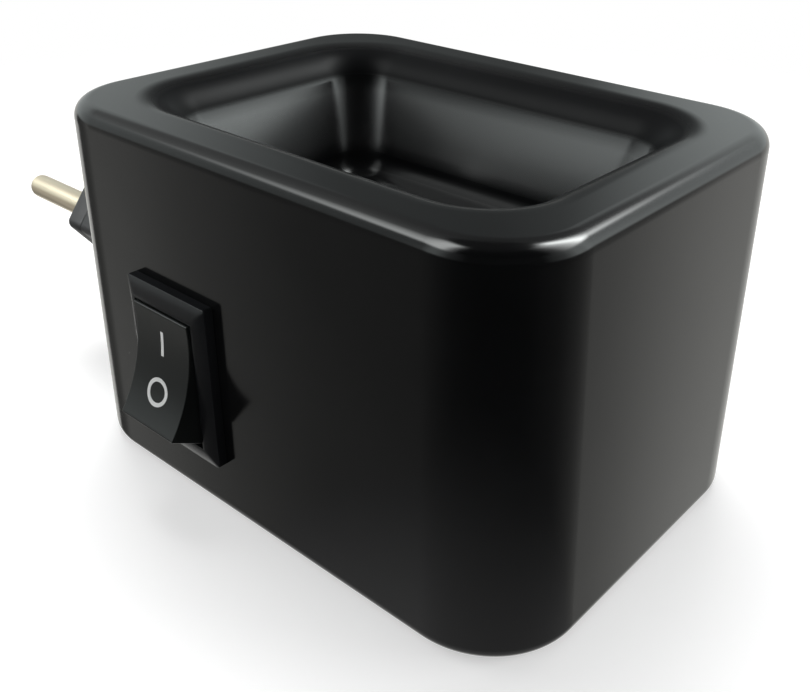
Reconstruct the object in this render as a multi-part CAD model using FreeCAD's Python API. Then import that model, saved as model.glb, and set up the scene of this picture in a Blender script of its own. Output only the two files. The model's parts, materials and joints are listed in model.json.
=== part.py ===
import FreeCAD, Part
import math
import os

# Plug-in wax melt warmer: a glazed ceramic body with a dish on top, a rocker switch on one
# long side and a swivelling two-pin plug on one end.
# +X points away from the plug, +Y to the back, +Z up; the origin is the centre of the base.
# Lengths are in millimetres and angles in degrees.

# ceramic body
body_length = 75.0
body_end_flare = 2.5
body_width = 58.0
body_height = 50.0
body_corner_radius = 11.0
body_foot_corner_radius = 12.4
body_top_edge_radius = 2.2
body_foot_edge_radius = 1.8
body_wall = 4.0
cavity_roof_radius = 0.6
rim_width = 9.6
rim_inner_radius = 6.0
electrics_height = 30.2
dish_floor_thickness = 2.4
dish_draft_angle = 18.0
dish_corner_radius = 7.5
dish_floor_corner_radius = 5.5
dish_floor_radius = 4.2

# lugs and bonded inserts that take the screws
lug_radius = 4.4
lug_inset = 5.2
lug_height = 9.0
boss_radius = 4.0
insert_radius = 2.25
insert_length = 5.2
bond_gap = 0.05
screw_radius = 1.5
screw_clearance = 0.2
thread_clearance = 0.05
screw_head_radius = 2.7
screw_head_height = 1.7
screw_slot_width = 0.8
screw_slot_depth = 0.8
screw_slot_length = 2.7
screw_head_round = 0.4
base_screw_length = 7.0
clamp_screw_length = 5.5
insert_bore_margin = 0.8
insert_groove_share = 0.33
insert_groove_depth = 0.27
boss_root_depth = 1.2

# base plate
base_thickness = 2.4
base_gap = 0.25
base_pad_height = 2.0
base_rib_height = 2.2
base_rib_thickness = 1.4
base_edge_chamfer = 0.4
head_gap = 0.3
head_recess = 2.0
vent_length = 14.0
vent_width = 1.6
vent_pitch = 4.4
vent_count = 5
vent_row_spacing = 22.0

# rocker switch
switch_inset = 24.6
switch_z = 19.7
bezel_width = 15.2
bezel_height = 22.8
bezel_edge_height = 1.3
bezel_lip_height = 2.0
bezel_corner_radius = 0.4
bezel_lip_land = 0.5
well_width = 11.0
well_height = 17.9
housing_wall = 0.8
housing_depth = 14.0
housing_floor = 1.5
cutout_gap = 0.2
latch_height = 0.4
latch_length = 3.0
latch_width = 6.0
latch_gap = 0.1
rocker_side_gap = 0.2
rocker_end_gap = 0.15
rocker_tilt_angle = 15.0
rocker_pivot_depth = 1.0
rocker_valley_height = 4.15
rocker_pressed_height = 3.42
rocker_skirt_depth = 2.0
rocker_skirt_draw = 0.2
rocker_skin = 1.5
trunnion_radius = 1.2
trunnion_gap = 0.05
mark_thickness = 0.1
mark_sink = 0.05
mark_bar_width = 0.5
mark_bar_length = 3.25
mark_bar_place = 3.5
mark_ring_width = 3.95
mark_ring_height = 3.7
mark_ring_stroke = 0.52
mark_ring_place = 3.0
plunger_radius = 1.0
plunger_boss_wall = 0.8
plunger_length = 4.6
plunger_gap = 0.05
plunger_tip_gap = 0.06
spring_wire_radius = 0.16
spring_turns = 4.5
seesaw_tilt_angle = 7.0
seesaw_rear_room = 3.8
seesaw_thickness = 0.5
seesaw_width = 4.6
seesaw_half_length = 6.6
contact_point_radius = 1.2
contact_point_height = 0.5
contact_place = 5.6
contact_gap = 0.25
fulcrum_gap = 0.05
blade_width = 4.8
blade_thickness = 0.8
blade_length = 6.5
blade_spacing = 7.0
blade_slot_gap = 0.05
terminal_plate_height = 3.2

# swivel plug
plug_axis_z = 21.7
pin_spacing = 19.0
pin_radius = 2.0
pin_length = 19.0
pin_tip_radius = 1.6
pin_relief_radius = 1.6
pin_relief_length = 0.5
pin_shoulder_radius = 2.3
pin_collar_radius = 2.9
pin_collar_thickness = 1.4
pin_tail_radius = 1.4
pin_tail_length = 3.2
pin_fit_gap = 0.05
plug_half_width = 15.8
plug_half_height = 7.0
plug_face_half_width = 10.2
plug_tip_radius = 1.3
plug_shoulder_radius = 2.0
plug_inner_tip_radius = 0.45
plug_inner_shoulder_radius = 1.1
plug_wall = 1.8
plug_cap_thickness = 4.0
plug_cap_spigot = 2.0
plug_spigot_gap = 0.1
plug_back_thickness = 2.2
plug_depth = 20.4
plug_edge_chamfer = 0.8
plug_face_round = 0.8
plug_swivel_gap = 0.4
neck_radius = 5.0
neck_bore_radius = 3.8
neck_gap = 0.06
bushing_radius = 6.5
bushing_flange_radius = 11.0
bushing_flange_thickness = 1.8
bushing_flange_chamfer = 0.5
bushing_hole_gap = 0.2
seat_gap = 0.3
bushing_tail = 5.0
nut_radius = 7.8
nut_thickness = 3.0
nut_slot_width = 2.0
nut_slot_depth = 1.2
nut_slot_count = 4
thread_gap = 0.05
clip_gap = 0.15
clip_thickness = 0.8
clip_radius = 5.9
clip_groove_depth = 0.5
clip_mouth_angle = 60.0
neck_end_land = 0.8
stop_lug_width = 1.6
stop_lug_radial = 0.9
stop_lug_length = 0.9
stop_lug_gap = 0.2
swivel_angle = 90.0
swivel_stop_margin_angle = 3.0

# slip contacts between the swivelling plug and the wiring
slip_disc_thickness = 2.4
slip_ring_outer_radius = 3.4
slip_ring_inner_radius = 2.2
slip_button_radius = 1.1
slip_proud = 0.1
slip_gap = 0.05
strap_width = 2.0
strap_thickness = 0.6
strap_gap = 0.3
contact_cap_radius = 7.75
contact_cap_wall = 1.2
contact_cap_grip = 1.6
contact_cap_cavity = 2.65
contact_cap_gap = 0.05
leaf_thickness = 0.35
leaf_width = 1.6
leaf_standoff = 1.5
leaf_tag_length = 3.0
leaf_slot_gap = 0.05
leaf_ring_place = 2.8

# heater under the dish
heater_x = 4.5
heater_y = 5.0
spreader_margin = 1.0
spreader_width = 28.0
spreader_thickness = 2.0
spreader_corner_radius = 3.0
spreader_front_overhang = 14.0
heater_width = 20.0
heater_thickness = 5.0
heater_shell_wall = 0.8
heater_film = 0.2
electrode_thickness = 0.4
electrode_margin = 1.2
electrode_tab_width = 3.0
electrode_tab_length = 5.0
chip_count = 2
chip_gap = 1.0
end_seal_depth = 2.0
film_overhang = 0.6
mica_thickness = 0.4
mica_margin = 1.0
clamp_thickness = 1.0
clamp_width = 12.0
clamp_screw_room = 36.0
clamp_boss_gap = 1.5
clamp_end_margin = 4.0
clamp_flange_height = 2.0
clamp_flange_inset = 9.0
clamp_corner_radius = 2.0

# thermal fuse
fuse_radius = 2.0
fuse_length = 11.0
fuse_sleeve_wall = 0.35
fuse_sleeve_length = 15.0
fuse_lead_radius = 0.5
fuse_lead_length = 6.5
fuse_nose_length = 1.2
fuse_nose_radius = 1.0
fuse_shift = 0.5
fuse_edge_inset = 1.3

# internal wiring
wire_radius = 0.75
splice_radius = 1.2
splice_length = 6.0
splice_gap = 0.05
receptacle_length = 6.0
receptacle_wall = 0.7
receptacle_gap = 0.05
receptacle_barrel_length = 4.0
receptacle_barrel_radius = 1.5

# wire routes
route_step = 6.0
route_bend_share = 0.45
live_lead_out = 1.6
live_dip = 2.3
live_approach = 3.0
switched_lead_out = 4.5
switched_drift = 4.8
switched_offset = 0.75
switched_under = 3.0
switched_rise = 2.0
switched_crown = 8.4
switched_turn = 9.0
fuse_wire_offset = 0.75
return_reach = 7.8
return_hump = 3.0
return_side = 2.0
return_approach = 4.8
return_middle_share = 0.2

# one overrun serves all cuts, and one tolerance finds edges by place
overrun = 1.0
match_tolerance = 0.05

# places worked out from the sizes above
half_length = body_length / 2
half_width = body_width / 2
roof_z = electrics_height
dish_floor_z = roof_z + dish_floor_thickness
dish_depth = body_height - dish_floor_z
wall_front_y = -half_width
wall_inner_x = body_wall - half_length
seat_top_z = plug_axis_z + bushing_flange_radius + seat_gap
wall_end_x = -half_length - body_end_flare * (body_height - seat_top_z) / body_height
switch_x = switch_inset - half_length
lug_bottom_z = base_thickness + base_pad_height
clamp_screw_spacing = body_length - clamp_screw_room
heater_length = clamp_screw_spacing - 2 * (boss_radius + clamp_boss_gap)
spreader_length = heater_length + 2 * spreader_margin
fuse_x = heater_x + fuse_shift
X_AXIS = FreeCAD.Vector(1, 0, 0)
Y_AXIS = FreeCAD.Vector(0, 1, 0)
Z_AXIS = FreeCAD.Vector(0, 0, 1)


def vec(x, y, z):
    return FreeCAD.Vector(x, y, z)


def block(x0, x1, y0, y1, z0, z1):
    return Part.makeBox(x1 - x0, y1 - y0, z1 - z0, vec(x0, y0, z0))


def rod(radius, start, direction, length):
    return Part.makeCylinder(radius, length, start, direction)


def ring(outer, inner, start, direction, length):
    return rod(outer, start, direction, length).cut(rod(inner, start, direction, length))


def rounded_wire(half_x, half_y, radius, z):
    # a rectangle with round corners, level at height z
    arcs = []
    for quarter in range(4):
        sign_x = 1 if quarter in (0, 3) else -1
        sign_y = 1 if quarter in (0, 1) else -1
        centre = vec(sign_x * (half_x - radius), sign_y * (half_y - radius), z)
        arcs.append(Part.makeCircle(radius, centre, Z_AXIS, quarter * 90, quarter * 90 + 90))
    edges = []
    for index, arc in enumerate(arcs):
        following = arcs[(index + 1) % len(arcs)]
        edges.append(arc)
        edges.append(Part.makeLine(arc.Vertexes[-1].Point, following.Vertexes[0].Point))
    return Part.Wire(edges)


def rounded_prism(half_x, half_y, radius, z0, z1):
    return Part.Face(rounded_wire(half_x, half_y, radius, z0)).extrude(vec(0, 0, z1 - z0))


def edges_at(shape, test):
    return [edge for edge in shape.Edges if test(edge)]


def level_loop(shape, z, reach=None):
    # the edges that lie level at height z, inside the reach from the middle if one is given
    def test(edge):
        box = edge.BoundBox
        level = max(abs(box.ZMin - z), abs(box.ZMax - z)) < match_tolerance
        if reach is None:
            return level
        centre = edge.CenterOfMass
        return level and abs(centre.x) < reach[0] and abs(centre.y) < reach[1]
    return edges_at(shape, test)


def prism_along_x(points, x0, x1):
    # points are (y, z) pairs
    wire = Part.makePolygon([vec(x0, y, z) for y, z in points + points[:1]])
    return Part.Face(wire).extrude(vec(x1 - x0, 0, 0))


def pan_screw(head_seat, length):
    # head_seat is where the underside of the head rests; the shank points up
    shank = rod(screw_radius - thread_clearance, head_seat, Z_AXIS, length)
    back = head_seat - Z_AXIS * screw_head_height
    head = rod(screw_head_radius, back, Z_AXIS, screw_head_height)
    rim = [edge for edge in head.Edges if edge.Vertexes[0].Point.sub(back).Length
           < screw_head_radius + match_tolerance and len(edge.Vertexes) == 1]
    head = head.makeFillet(screw_head_round, rim[:1])
    cross = block(-screw_slot_width / 2, screw_slot_width / 2,
                  -screw_slot_length / 2, screw_slot_length / 2, 0, screw_slot_depth)
    cross = cross.fuse(cross.rotated(vec(0, 0, 0), Z_AXIS, 90))
    return head.cut(cross.translated(back)).fuse(shank)


def insert_at(mouth):
    # a knurled insert with a groove round its middle, flush with the mouth of its hole
    body = rod(insert_radius, mouth, Z_AXIS, insert_length)
    run = insert_length * insert_groove_share
    groove = ring(insert_radius + overrun, insert_radius - insert_groove_depth,
                  mouth + Z_AXIS * ((insert_length - run) / 2), Z_AXIS, run)
    bore = rod(screw_radius, mouth, Z_AXIS, insert_length)
    return body.cut(groove).cut(bore)


def insert_hole(mouth):
    depth = insert_length + insert_bore_margin
    return rod(insert_radius + bond_gap, mouth, Z_AXIS, depth)


def lug_places():
    reach_x = half_length - body_wall - lug_inset
    reach_y = half_width - body_wall - lug_inset
    return [vec(sx * reach_x, sy * reach_y, 0) for sx in (-1, 1) for sy in (-1, 1)]


def boss_places():
    spread = clamp_screw_spacing / 2
    return [vec(heater_x + side * spread, heater_y, 0) for side in (-1, 1)]


# heights of the stack that hangs under the dish
spreader_z = roof_z - spreader_thickness
heater_z = spreader_z - heater_thickness
mica_z = heater_z - mica_thickness
clamp_z = mica_z - clamp_thickness


# Ceramic body

def dish_cutter():
    # a tray with drafted walls, a rounded floor edge and round corners
    shrink = dish_depth * math.tan(math.radians(dish_draft_angle))
    top_x = half_length - rim_width
    top_y = half_width - rim_width
    rise = overrun * math.tan(math.radians(dish_draft_angle))
    upper = rounded_wire(top_x + rise, top_y + rise, dish_corner_radius, body_height + overrun)
    lower = rounded_wire(top_x - shrink, top_y - shrink, dish_floor_corner_radius,
                         dish_floor_z)
    tray = Part.makeLoft([lower, upper], True, True)
    return tray.makeFillet(dish_floor_radius, level_loop(tray, dish_floor_z))


def ceramic_body():
    foot = rounded_wire(half_length + body_end_flare, half_width, body_foot_corner_radius, 0)
    top = rounded_wire(half_length, half_width, body_corner_radius, body_height)
    outer = Part.makeLoft([foot, top], True, True)
    outer = outer.makeFillet(body_top_edge_radius, level_loop(outer, body_height))
    outer = outer.makeFillet(body_foot_edge_radius, level_loop(outer, 0))
    shell = outer.cut(dish_cutter())
    inner = (half_length - body_top_edge_radius, half_width - body_top_edge_radius)
    mouth = [edge for edge in level_loop(shell, body_height, inner)
             if max(abs(edge.BoundBox.XMin), abs(edge.BoundBox.XMax)) < half_length - rim_width / 2
             and max(abs(edge.BoundBox.YMin), abs(edge.BoundBox.YMax)) < half_width - rim_width / 2]
    shell = shell.makeFillet(rim_inner_radius, mouth)
    cavity = rounded_prism(half_length - body_wall, half_width - body_wall,
                           body_corner_radius - body_wall, -overrun, roof_z)
    cavity = cavity.makeFillet(cavity_roof_radius, level_loop(cavity, roof_z))
    shell = shell.cut(cavity)
    for place in lug_places():
        shell = shell.fuse(corner_lug(place).common(outer))
    for place in boss_places():
        shell = shell.fuse(rod(boss_radius, place + vec(0, 0, mica_z), Z_AXIS,
                               roof_z - mica_z + boss_root_depth))
    for place in lug_places():
        shell = shell.cut(insert_hole(place + vec(0, 0, lug_bottom_z)))
    for place in boss_places():
        shell = shell.cut(insert_hole(place + vec(0, 0, mica_z)))
    shell = shell.cut(switch_cutout())
    hole = rod(bushing_radius + bushing_hole_gap, axis_at(wall_end_x - overrun), X_AXIS,
               wall_inner_x - wall_end_x + 2 * overrun)
    # a flat ground round the hole takes the bushing's flange
    seat = rod(bushing_flange_radius + seat_gap, axis_at(wall_end_x - body_end_flare), X_AXIS,
               body_end_flare)
    return shell.cut(hole).cut(seat).removeSplitter()


def corner_lug(place):
    # a round pillar that fills back into its corner of the wall
    lug = rod(lug_radius, place + vec(0, 0, lug_bottom_z), Z_AXIS, lug_height)
    corner_x = math.copysign(half_length - body_wall, place.x)
    corner_y = math.copysign(half_width - body_wall, place.y)
    fill = block(min(place.x, corner_x), max(place.x, corner_x), min(place.y, corner_y),
                 max(place.y, corner_y), lug_bottom_z, lug_bottom_z + lug_height)
    return lug.fuse(fill)


def base_plate():
    half_x = half_length - body_wall - base_gap
    half_y = half_width - body_wall - base_gap
    corner = body_corner_radius - body_wall - base_gap
    plate = rounded_prism(half_x, half_y, corner, 0, base_thickness)
    plate = plate.makeChamfer(base_edge_chamfer, level_loop(plate, 0))
    rib = rounded_prism(half_x, half_y, corner, base_thickness, base_thickness + base_rib_height)
    rib = rib.cut(rounded_prism(half_x - base_rib_thickness, half_y - base_rib_thickness,
                                corner - base_rib_thickness, base_thickness,
                                base_thickness + base_rib_height))
    clear_radius = lug_radius + base_gap
    for place in lug_places():
        rib = rib.cut(rod(clear_radius, place, Z_AXIS, lug_bottom_z + overrun))
        corner_x = half_x if place.x > 0 else -half_x
        corner_y = half_y if place.y > 0 else -half_y
        rib = rib.cut(block(min(place.x, corner_x), max(place.x, corner_x),
                            min(place.y, corner_y), max(place.y, corner_y),
                            base_thickness, lug_bottom_z + overrun))
    plate = plate.fuse(rib)
    for place in lug_places():
        pad = rod(screw_head_radius + head_gap + base_rib_thickness, place, Z_AXIS, lug_bottom_z)
        outline = rounded_prism(half_x, half_y, corner, 0, lug_bottom_z)
        plate = plate.fuse(pad.common(outline))
    for place in lug_places():
        plate = plate.cut(rod(screw_radius + screw_clearance, place, Z_AXIS, lug_bottom_z))
        plate = plate.cut(rod(screw_head_radius + head_gap, place, Z_AXIS, head_recess))
    return plate.cut(vent_slots()).removeSplitter()


def vent_slots():
    slots = []
    for side in (-1, 1):
        for index in range(vent_count):
            x = (index - (vent_count - 1) / 2) * vent_pitch
            y = side * vent_row_spacing / 2
            half_run = (vent_length - vent_width) / 2
            slot = block(x - vent_width / 2, x + vent_width / 2, y - half_run, y + half_run,
                         0, base_thickness)
            for end in (-1, 1):
                slot = slot.fuse(rod(vent_width / 2, vec(x, y + end * half_run, 0), Z_AXIS,
                                     base_thickness))
            slots.append(slot)
    return Part.makeCompound(slots)


def base_screws():
    return Part.makeCompound([pan_screw(place + vec(0, 0, head_recess), base_screw_length)
                              for place in lug_places()])


def base_inserts():
    return Part.makeCompound([insert_at(place + vec(0, 0, lug_bottom_z))
                              for place in lug_places()])


# Rocker switch. Its pieces are drawn with "out" as the distance outside the front wall.

def switch_wire(half_w, half_h, radius, out):
    wire = rounded_wire(half_w, half_h, radius, 0)
    turn = FreeCAD.Placement(vec(switch_x, wall_front_y - out, switch_z),
                             FreeCAD.Rotation(X_AXIS, 90))
    wire.Placement = turn
    return wire


def switch_prism(half_w, half_h, radius, out0, out1):
    face = Part.Face(switch_wire(half_w, half_h, radius, out0))
    return face.extrude(vec(0, out0 - out1, 0))


def switch_block(x0, x1, out0, out1, up0, up1):
    return block(switch_x + x0, switch_x + x1, wall_front_y - out1, wall_front_y - out0,
                 switch_z + up0, switch_z + up1)


housing_half_x = well_width / 2 + housing_wall
housing_half_z = well_height / 2 + housing_wall
pivot = vec(switch_x, wall_front_y + rocker_pivot_depth, switch_z)
seesaw_depth = housing_depth - housing_floor - seesaw_rear_room
fulcrum = vec(switch_x, wall_front_y + seesaw_depth + seesaw_thickness, switch_z)
blade_inner_out = -(seesaw_depth + seesaw_thickness + contact_point_height * 2
                    + contact_gap + contact_place * math.sin(math.radians(seesaw_tilt_angle)))


def switch_cutout():
    return switch_block(-housing_half_x - cutout_gap, housing_half_x + cutout_gap,
                        -body_wall - overrun, overrun,
                        -housing_half_z - cutout_gap, housing_half_z + cutout_gap)


def switch_housing():
    half_w = bezel_width / 2
    half_h = bezel_height / 2
    flange = switch_prism(half_w, half_h, bezel_corner_radius, 0, bezel_edge_height)
    lip_w = well_width / 2 + bezel_lip_land
    lip_h = well_height / 2 + bezel_lip_land
    slope = Part.makeLoft([switch_wire(half_w, half_h, bezel_corner_radius, bezel_edge_height),
                           switch_wire(lip_w, lip_h, bezel_lip_land, bezel_lip_height)],
                          True, True)
    tub = switch_block(-housing_half_x, housing_half_x, -housing_depth, 0,
                       -housing_half_z, housing_half_z)
    case = flange.fuse(slope).fuse(tub)
    for side in (-1, 1):
        case = case.fuse(latch(side))
    case = case.cut(switch_block(-well_width / 2, well_width / 2,
                                 -housing_depth + housing_floor, bezel_lip_height + overrun,
                                 -well_height / 2, well_height / 2))
    hole = rod(trunnion_radius + trunnion_gap, pivot - X_AXIS * (housing_half_x + overrun),
               X_AXIS, 2 * (housing_half_x + overrun))
    case = case.cut(hole)
    for up in (0, -blade_spacing):
        case = case.cut(switch_block(-blade_width / 2 - blade_slot_gap,
                                     blade_width / 2 + blade_slot_gap,
                                     -housing_depth - overrun, -housing_depth + housing_floor
                                     + overrun,
                                     up - blade_thickness / 2 - blade_slot_gap,
                                     up + blade_thickness / 2 + blade_slot_gap))
    return case.removeSplitter()


def latch(side):
    # a wedge that snaps behind the wall; it is thickest next to the wall
    start = wall_front_y + body_wall + latch_gap
    face_z = switch_z + side * housing_half_z
    wedge = prism_along_x([(start, face_z), (start, face_z + side * latch_height),
                           (start + latch_length, face_z)],
                          switch_x - latch_width / 2, switch_x + latch_width / 2)
    return wedge


def rocker_profile():
    # drawn level, as (out from the pivot, up): the tip of the face and the foot of the skirt
    tilt = math.radians(rocker_tilt_angle)
    lip_up = well_height / 2 - rocker_end_gap
    # the pressed end stands square behind the lip, turned back here to the level place
    tip_up = lip_up * math.cos(tilt) - rocker_pressed_height * math.sin(tilt)
    tip_out = lip_up * math.sin(tilt) + rocker_pressed_height * math.cos(tilt)
    foot = lip_up - rocker_skirt_draw
    skirt_up = foot * math.cos(tilt) + rocker_skirt_depth * math.sin(tilt)
    skirt_out = foot * math.sin(tilt) - rocker_skirt_depth * math.cos(tilt)
    return tip_out, tip_up, skirt_out, skirt_up


def rocker_curve(depth):
    # a level cylinder in front of the rocker; its near side is the hollow face, moved in by depth
    tip_out, tip_up = rocker_profile()[:2]
    hollow = tip_out - rocker_valley_height
    radius = (tip_up ** 2 + hollow ** 2) / (2 * hollow)
    centre = pivot - X_AXIS * well_width - Y_AXIS * (rocker_valley_height + radius)
    return rod(radius + depth, centre, X_AXIS, 2 * well_width)


def rocker_prism(points, half_x):
    outline = [(pivot.y - out, pivot.z + up) for out, up in points]
    return prism_along_x(outline, switch_x - half_x, switch_x + half_x)


def rocker_to_rest(shape):
    return shape.rotated(pivot, X_AXIS, -rocker_tilt_angle)


def switch_rocker():
    tip_out, tip_up, skirt_out, skirt_up = rocker_profile()
    half_x = well_width / 2 - rocker_side_gap
    outside = rocker_prism([(tip_out, tip_up), (skirt_out, skirt_up),
                            (-trunnion_radius, skirt_up - rocker_skirt_depth),
                            (-trunnion_radius, -skirt_up + rocker_skirt_depth),
                            (skirt_out, -skirt_up), (tip_out, -tip_up)], half_x)
    outside = outside.cut(rocker_curve(0))
    hollow_top = rocker_valley_height - rocker_skin
    hollow_up = skirt_up - rocker_skirt_depth - rocker_skin
    hollow = rocker_prism([(hollow_top, 0), (hollow_top, hollow_up),
                           (-trunnion_radius - overrun, hollow_up),
                           (-trunnion_radius - overrun, -hollow_up),
                           (hollow_top, -hollow_up)], half_x - rocker_skin)
    boss = rod(plunger_radius + plunger_boss_wall, pivot - Y_AXIS * hollow_top, Y_AXIS,
               hollow_top + trunnion_radius + plunger_boss_wall)
    shape = outside.cut(hollow).fuse(boss)
    reach = housing_half_x
    shape = shape.fuse(rod(trunnion_radius, pivot - X_AXIS * reach, X_AXIS, reach
                           - half_x + rocker_skin))
    shape = shape.fuse(rod(trunnion_radius, pivot + X_AXIS * (half_x - rocker_skin), X_AXIS,
                           reach - half_x + rocker_skin))
    bore = rod(plunger_radius + plunger_gap, pivot - Y_AXIS * hollow_top, Y_AXIS,
               hollow_top + trunnion_radius + plunger_boss_wall + overrun)
    return rocker_to_rest(shape.cut(bore).cut(mark_solids(-overrun)).removeSplitter())


def mark_solids(top):
    # an upright bar and a ring that follow the hollow face, from the sink depth up to the top
    layer = rocker_curve(mark_sink).cut(rocker_curve(top))
    front = pivot.y - rocker_profile()[0]
    bar = block(switch_x - mark_bar_width / 2, switch_x + mark_bar_width / 2, front, pivot.y,
                pivot.z + mark_bar_place - mark_bar_length / 2,
                pivot.z + mark_bar_place + mark_bar_length / 2)
    outer = ellipse_prism(mark_ring_width / 2, mark_ring_height / 2, front, pivot.y)
    inner = ellipse_prism(mark_ring_width / 2 - mark_ring_stroke,
                          mark_ring_height / 2 - mark_ring_stroke, front, pivot.y)
    hoop = outer.cut(inner).translated(vec(0, 0, pivot.z - mark_ring_place))
    return Part.makeCompound([bar.common(layer), hoop.common(layer)])


def ellipse_prism(half_x, half_z, y0, y1):
    top = vec(switch_x, y0, half_z)
    side = vec(switch_x + half_x, y0, 0)
    ends = (side, top) if half_x > half_z else (top, side)
    curve = Part.Ellipse(*ends, vec(switch_x, y0, 0))
    return Part.Face(Part.Wire(curve.toShape())).extrude(vec(0, y1 - y0, 0))


def rocker_marks():
    return rocker_to_rest(mark_solids(mark_sink - mark_thickness))


def plunger_base():
    # the plunger's inner end, where its spring pushes
    tip = seesaw_depth - rocker_pivot_depth - plunger_tip_gap
    return tip - plunger_length


def switch_plunger():
    base = plunger_base()
    straight = plunger_length - plunger_radius
    shape = rod(plunger_radius, pivot + Y_AXIS * base, Y_AXIS, straight)
    tip = Part.makeSphere(plunger_radius, pivot + Y_AXIS * (base + straight))
    return rocker_to_rest(shape.fuse(tip).removeSplitter())


def switch_spring():
    # a round wire wound on a helix between the rocker's roof and the plunger
    room = plunger_base() + rocker_valley_height - rocker_skin
    coil_radius = plunger_radius - spring_wire_radius - plunger_gap
    height = room - 2 * spring_wire_radius - plunger_gap * 2
    helix = Part.makeHelix(height / spring_turns, height, coil_radius)
    section = Part.Wire(Part.makeCircle(spring_wire_radius, vec(coil_radius, 0, 0), Y_AXIS))
    coil = Part.Wire(helix.Edges).makePipeShell([section], True, True)
    coil.Placement = FreeCAD.Placement(
        pivot - Y_AXIS * (rocker_valley_height - rocker_skin - spring_wire_radius - plunger_gap),
        FreeCAD.Rotation(X_AXIS, -90))
    return rocker_to_rest(coil)


def switch_contact():
    # a shallow V strip that rocks on the middle terminal, with a contact point at its lower end
    bend = math.tan(math.radians(seesaw_tilt_angle))
    tip = seesaw_half_length * bend
    points = [(0, 0), (tip, seesaw_half_length), (tip + seesaw_thickness, seesaw_half_length),
              (seesaw_thickness, 0), (tip + seesaw_thickness, -seesaw_half_length),
              (tip, -seesaw_half_length)]
    outline = [(fulcrum.y - out, fulcrum.z + up) for out, up in points]
    strip = prism_along_x(outline, switch_x - seesaw_width / 2, switch_x + seesaw_width / 2)
    at = vec(switch_x, fulcrum.y, fulcrum.z - contact_place)
    point = rod(contact_point_radius, at - Y_AXIS * (contact_place * bend + seesaw_thickness / 2),
                Y_AXIS, seesaw_thickness / 2 + contact_point_height)
    point = point.rotated(at - Y_AXIS * contact_place * bend, X_AXIS, -seesaw_tilt_angle)
    return strip.fuse(point).rotated(fulcrum, X_AXIS, seesaw_tilt_angle).removeSplitter()


def blade(up, out_front):
    return switch_block(-blade_width / 2, blade_width / 2,
                        -housing_depth - blade_length, out_front,
                        up - blade_thickness / 2, up + blade_thickness / 2)


def terminal_common():
    nose = -(seesaw_depth + seesaw_thickness + fulcrum_gap)
    shape = blade(0, nose - blade_thickness / 2)
    y = wall_front_y - nose + blade_thickness / 2
    crest = rod(blade_thickness / 2, vec(switch_x - blade_width / 2, y, switch_z), X_AXIS,
                blade_width)
    return shape.fuse(crest).removeSplitter()


def terminal_load():
    shape = blade(-blade_spacing, blade_inner_out)
    low = -contact_place - terminal_plate_height / 2
    plate = switch_block(-seesaw_width / 2, seesaw_width / 2, blade_inner_out - blade_thickness,
                         blade_inner_out, min(low, -blade_spacing - blade_thickness / 2),
                         -contact_place + terminal_plate_height / 2)
    at = vec(switch_x, wall_front_y - blade_inner_out - contact_point_height,
             switch_z - contact_place)
    point = rod(contact_point_radius, at, Y_AXIS, contact_point_height)
    return shape.fuse(plate).fuse(point).removeSplitter()


# Swivel plug. Its pieces turn about a level axis through the end wall.

flange_out_x = wall_end_x - bushing_flange_thickness
plug_back_x = flange_out_x - plug_swivel_gap
plug_face_x = plug_back_x - plug_depth
plug_cap_x = plug_face_x + plug_cap_thickness
bushing_end_x = wall_inner_x + bushing_tail
clip_x = bushing_end_x + clip_gap
neck_end_x = clip_x + clip_thickness + neck_end_land


def axis_at(x):
    return vec(x, 0, plug_axis_z)


def plug_outline(offset):
    # a long hexagon with its points to the sides, drawn in by the offset
    slant = math.hypot(plug_half_width - plug_face_half_width, plug_half_height)
    cosine = plug_half_height / slant
    height = plug_half_height - offset
    tip = plug_half_width - offset / cosine
    shoulder = tip - height * (plug_half_width - plug_face_half_width) / plug_half_height
    return [(tip, 0), (shoulder, height), (-shoulder, height), (-tip, 0), (-shoulder, -height),
            (shoulder, -height)]


def plug_prism(offset, x0, x1):
    points = [(y, plug_axis_z + z) for y, z in plug_outline(offset)]
    shape = prism_along_x(points, x0, x1)
    tip_radius = plug_inner_tip_radius if offset else plug_tip_radius
    shoulder_radius = plug_inner_shoulder_radius if offset else plug_shoulder_radius
    shape = shape.makeFillet(tip_radius, long_edges(shape, x1 - x0, True))
    return shape.makeFillet(shoulder_radius, long_edges(shape, x1 - x0, False))


def long_edges(shape, length, at_tips):
    # the full-length edges at the hexagon's two tips, or else at its four shoulders
    def test(edge):
        if abs(edge.BoundBox.XLength - length) > match_tolerance:
            return False
        rise = abs(edge.CenterOfMass.z - plug_axis_z)
        if at_tips:
            return rise < match_tolerance
        return rise > shape.BoundBox.ZLength / 2 - match_tolerance
    return edges_at(shape, test)


def face_edges_at_x(shape, x):
    return edges_at(shape, lambda e: abs(e.BoundBox.XMin - x) < match_tolerance
                    and abs(e.BoundBox.XMax - x) < match_tolerance)


def plug_body():
    cup = plug_prism(0, plug_cap_x, plug_back_x)
    cup = cup.makeChamfer(plug_edge_chamfer, face_edges_at_x(cup, plug_back_x))
    room = plug_prism(plug_wall, plug_cap_x, plug_back_x - plug_back_thickness)
    cup = cup.cut(room)
    cup = cup.fuse(rod(neck_radius, axis_at(plug_back_x - plug_edge_chamfer), X_AXIS,
                       neck_end_x - plug_back_x + plug_edge_chamfer))
    cup = cup.cut(rod(neck_bore_radius, axis_at(plug_cap_x), X_AXIS, neck_end_x - plug_cap_x))
    groove = ring(neck_radius + overrun, neck_radius - clip_groove_depth, axis_at(clip_x),
                  X_AXIS, clip_thickness)
    cup = cup.cut(groove)
    return cup.fuse(stop_lug()).removeSplitter()


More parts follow.
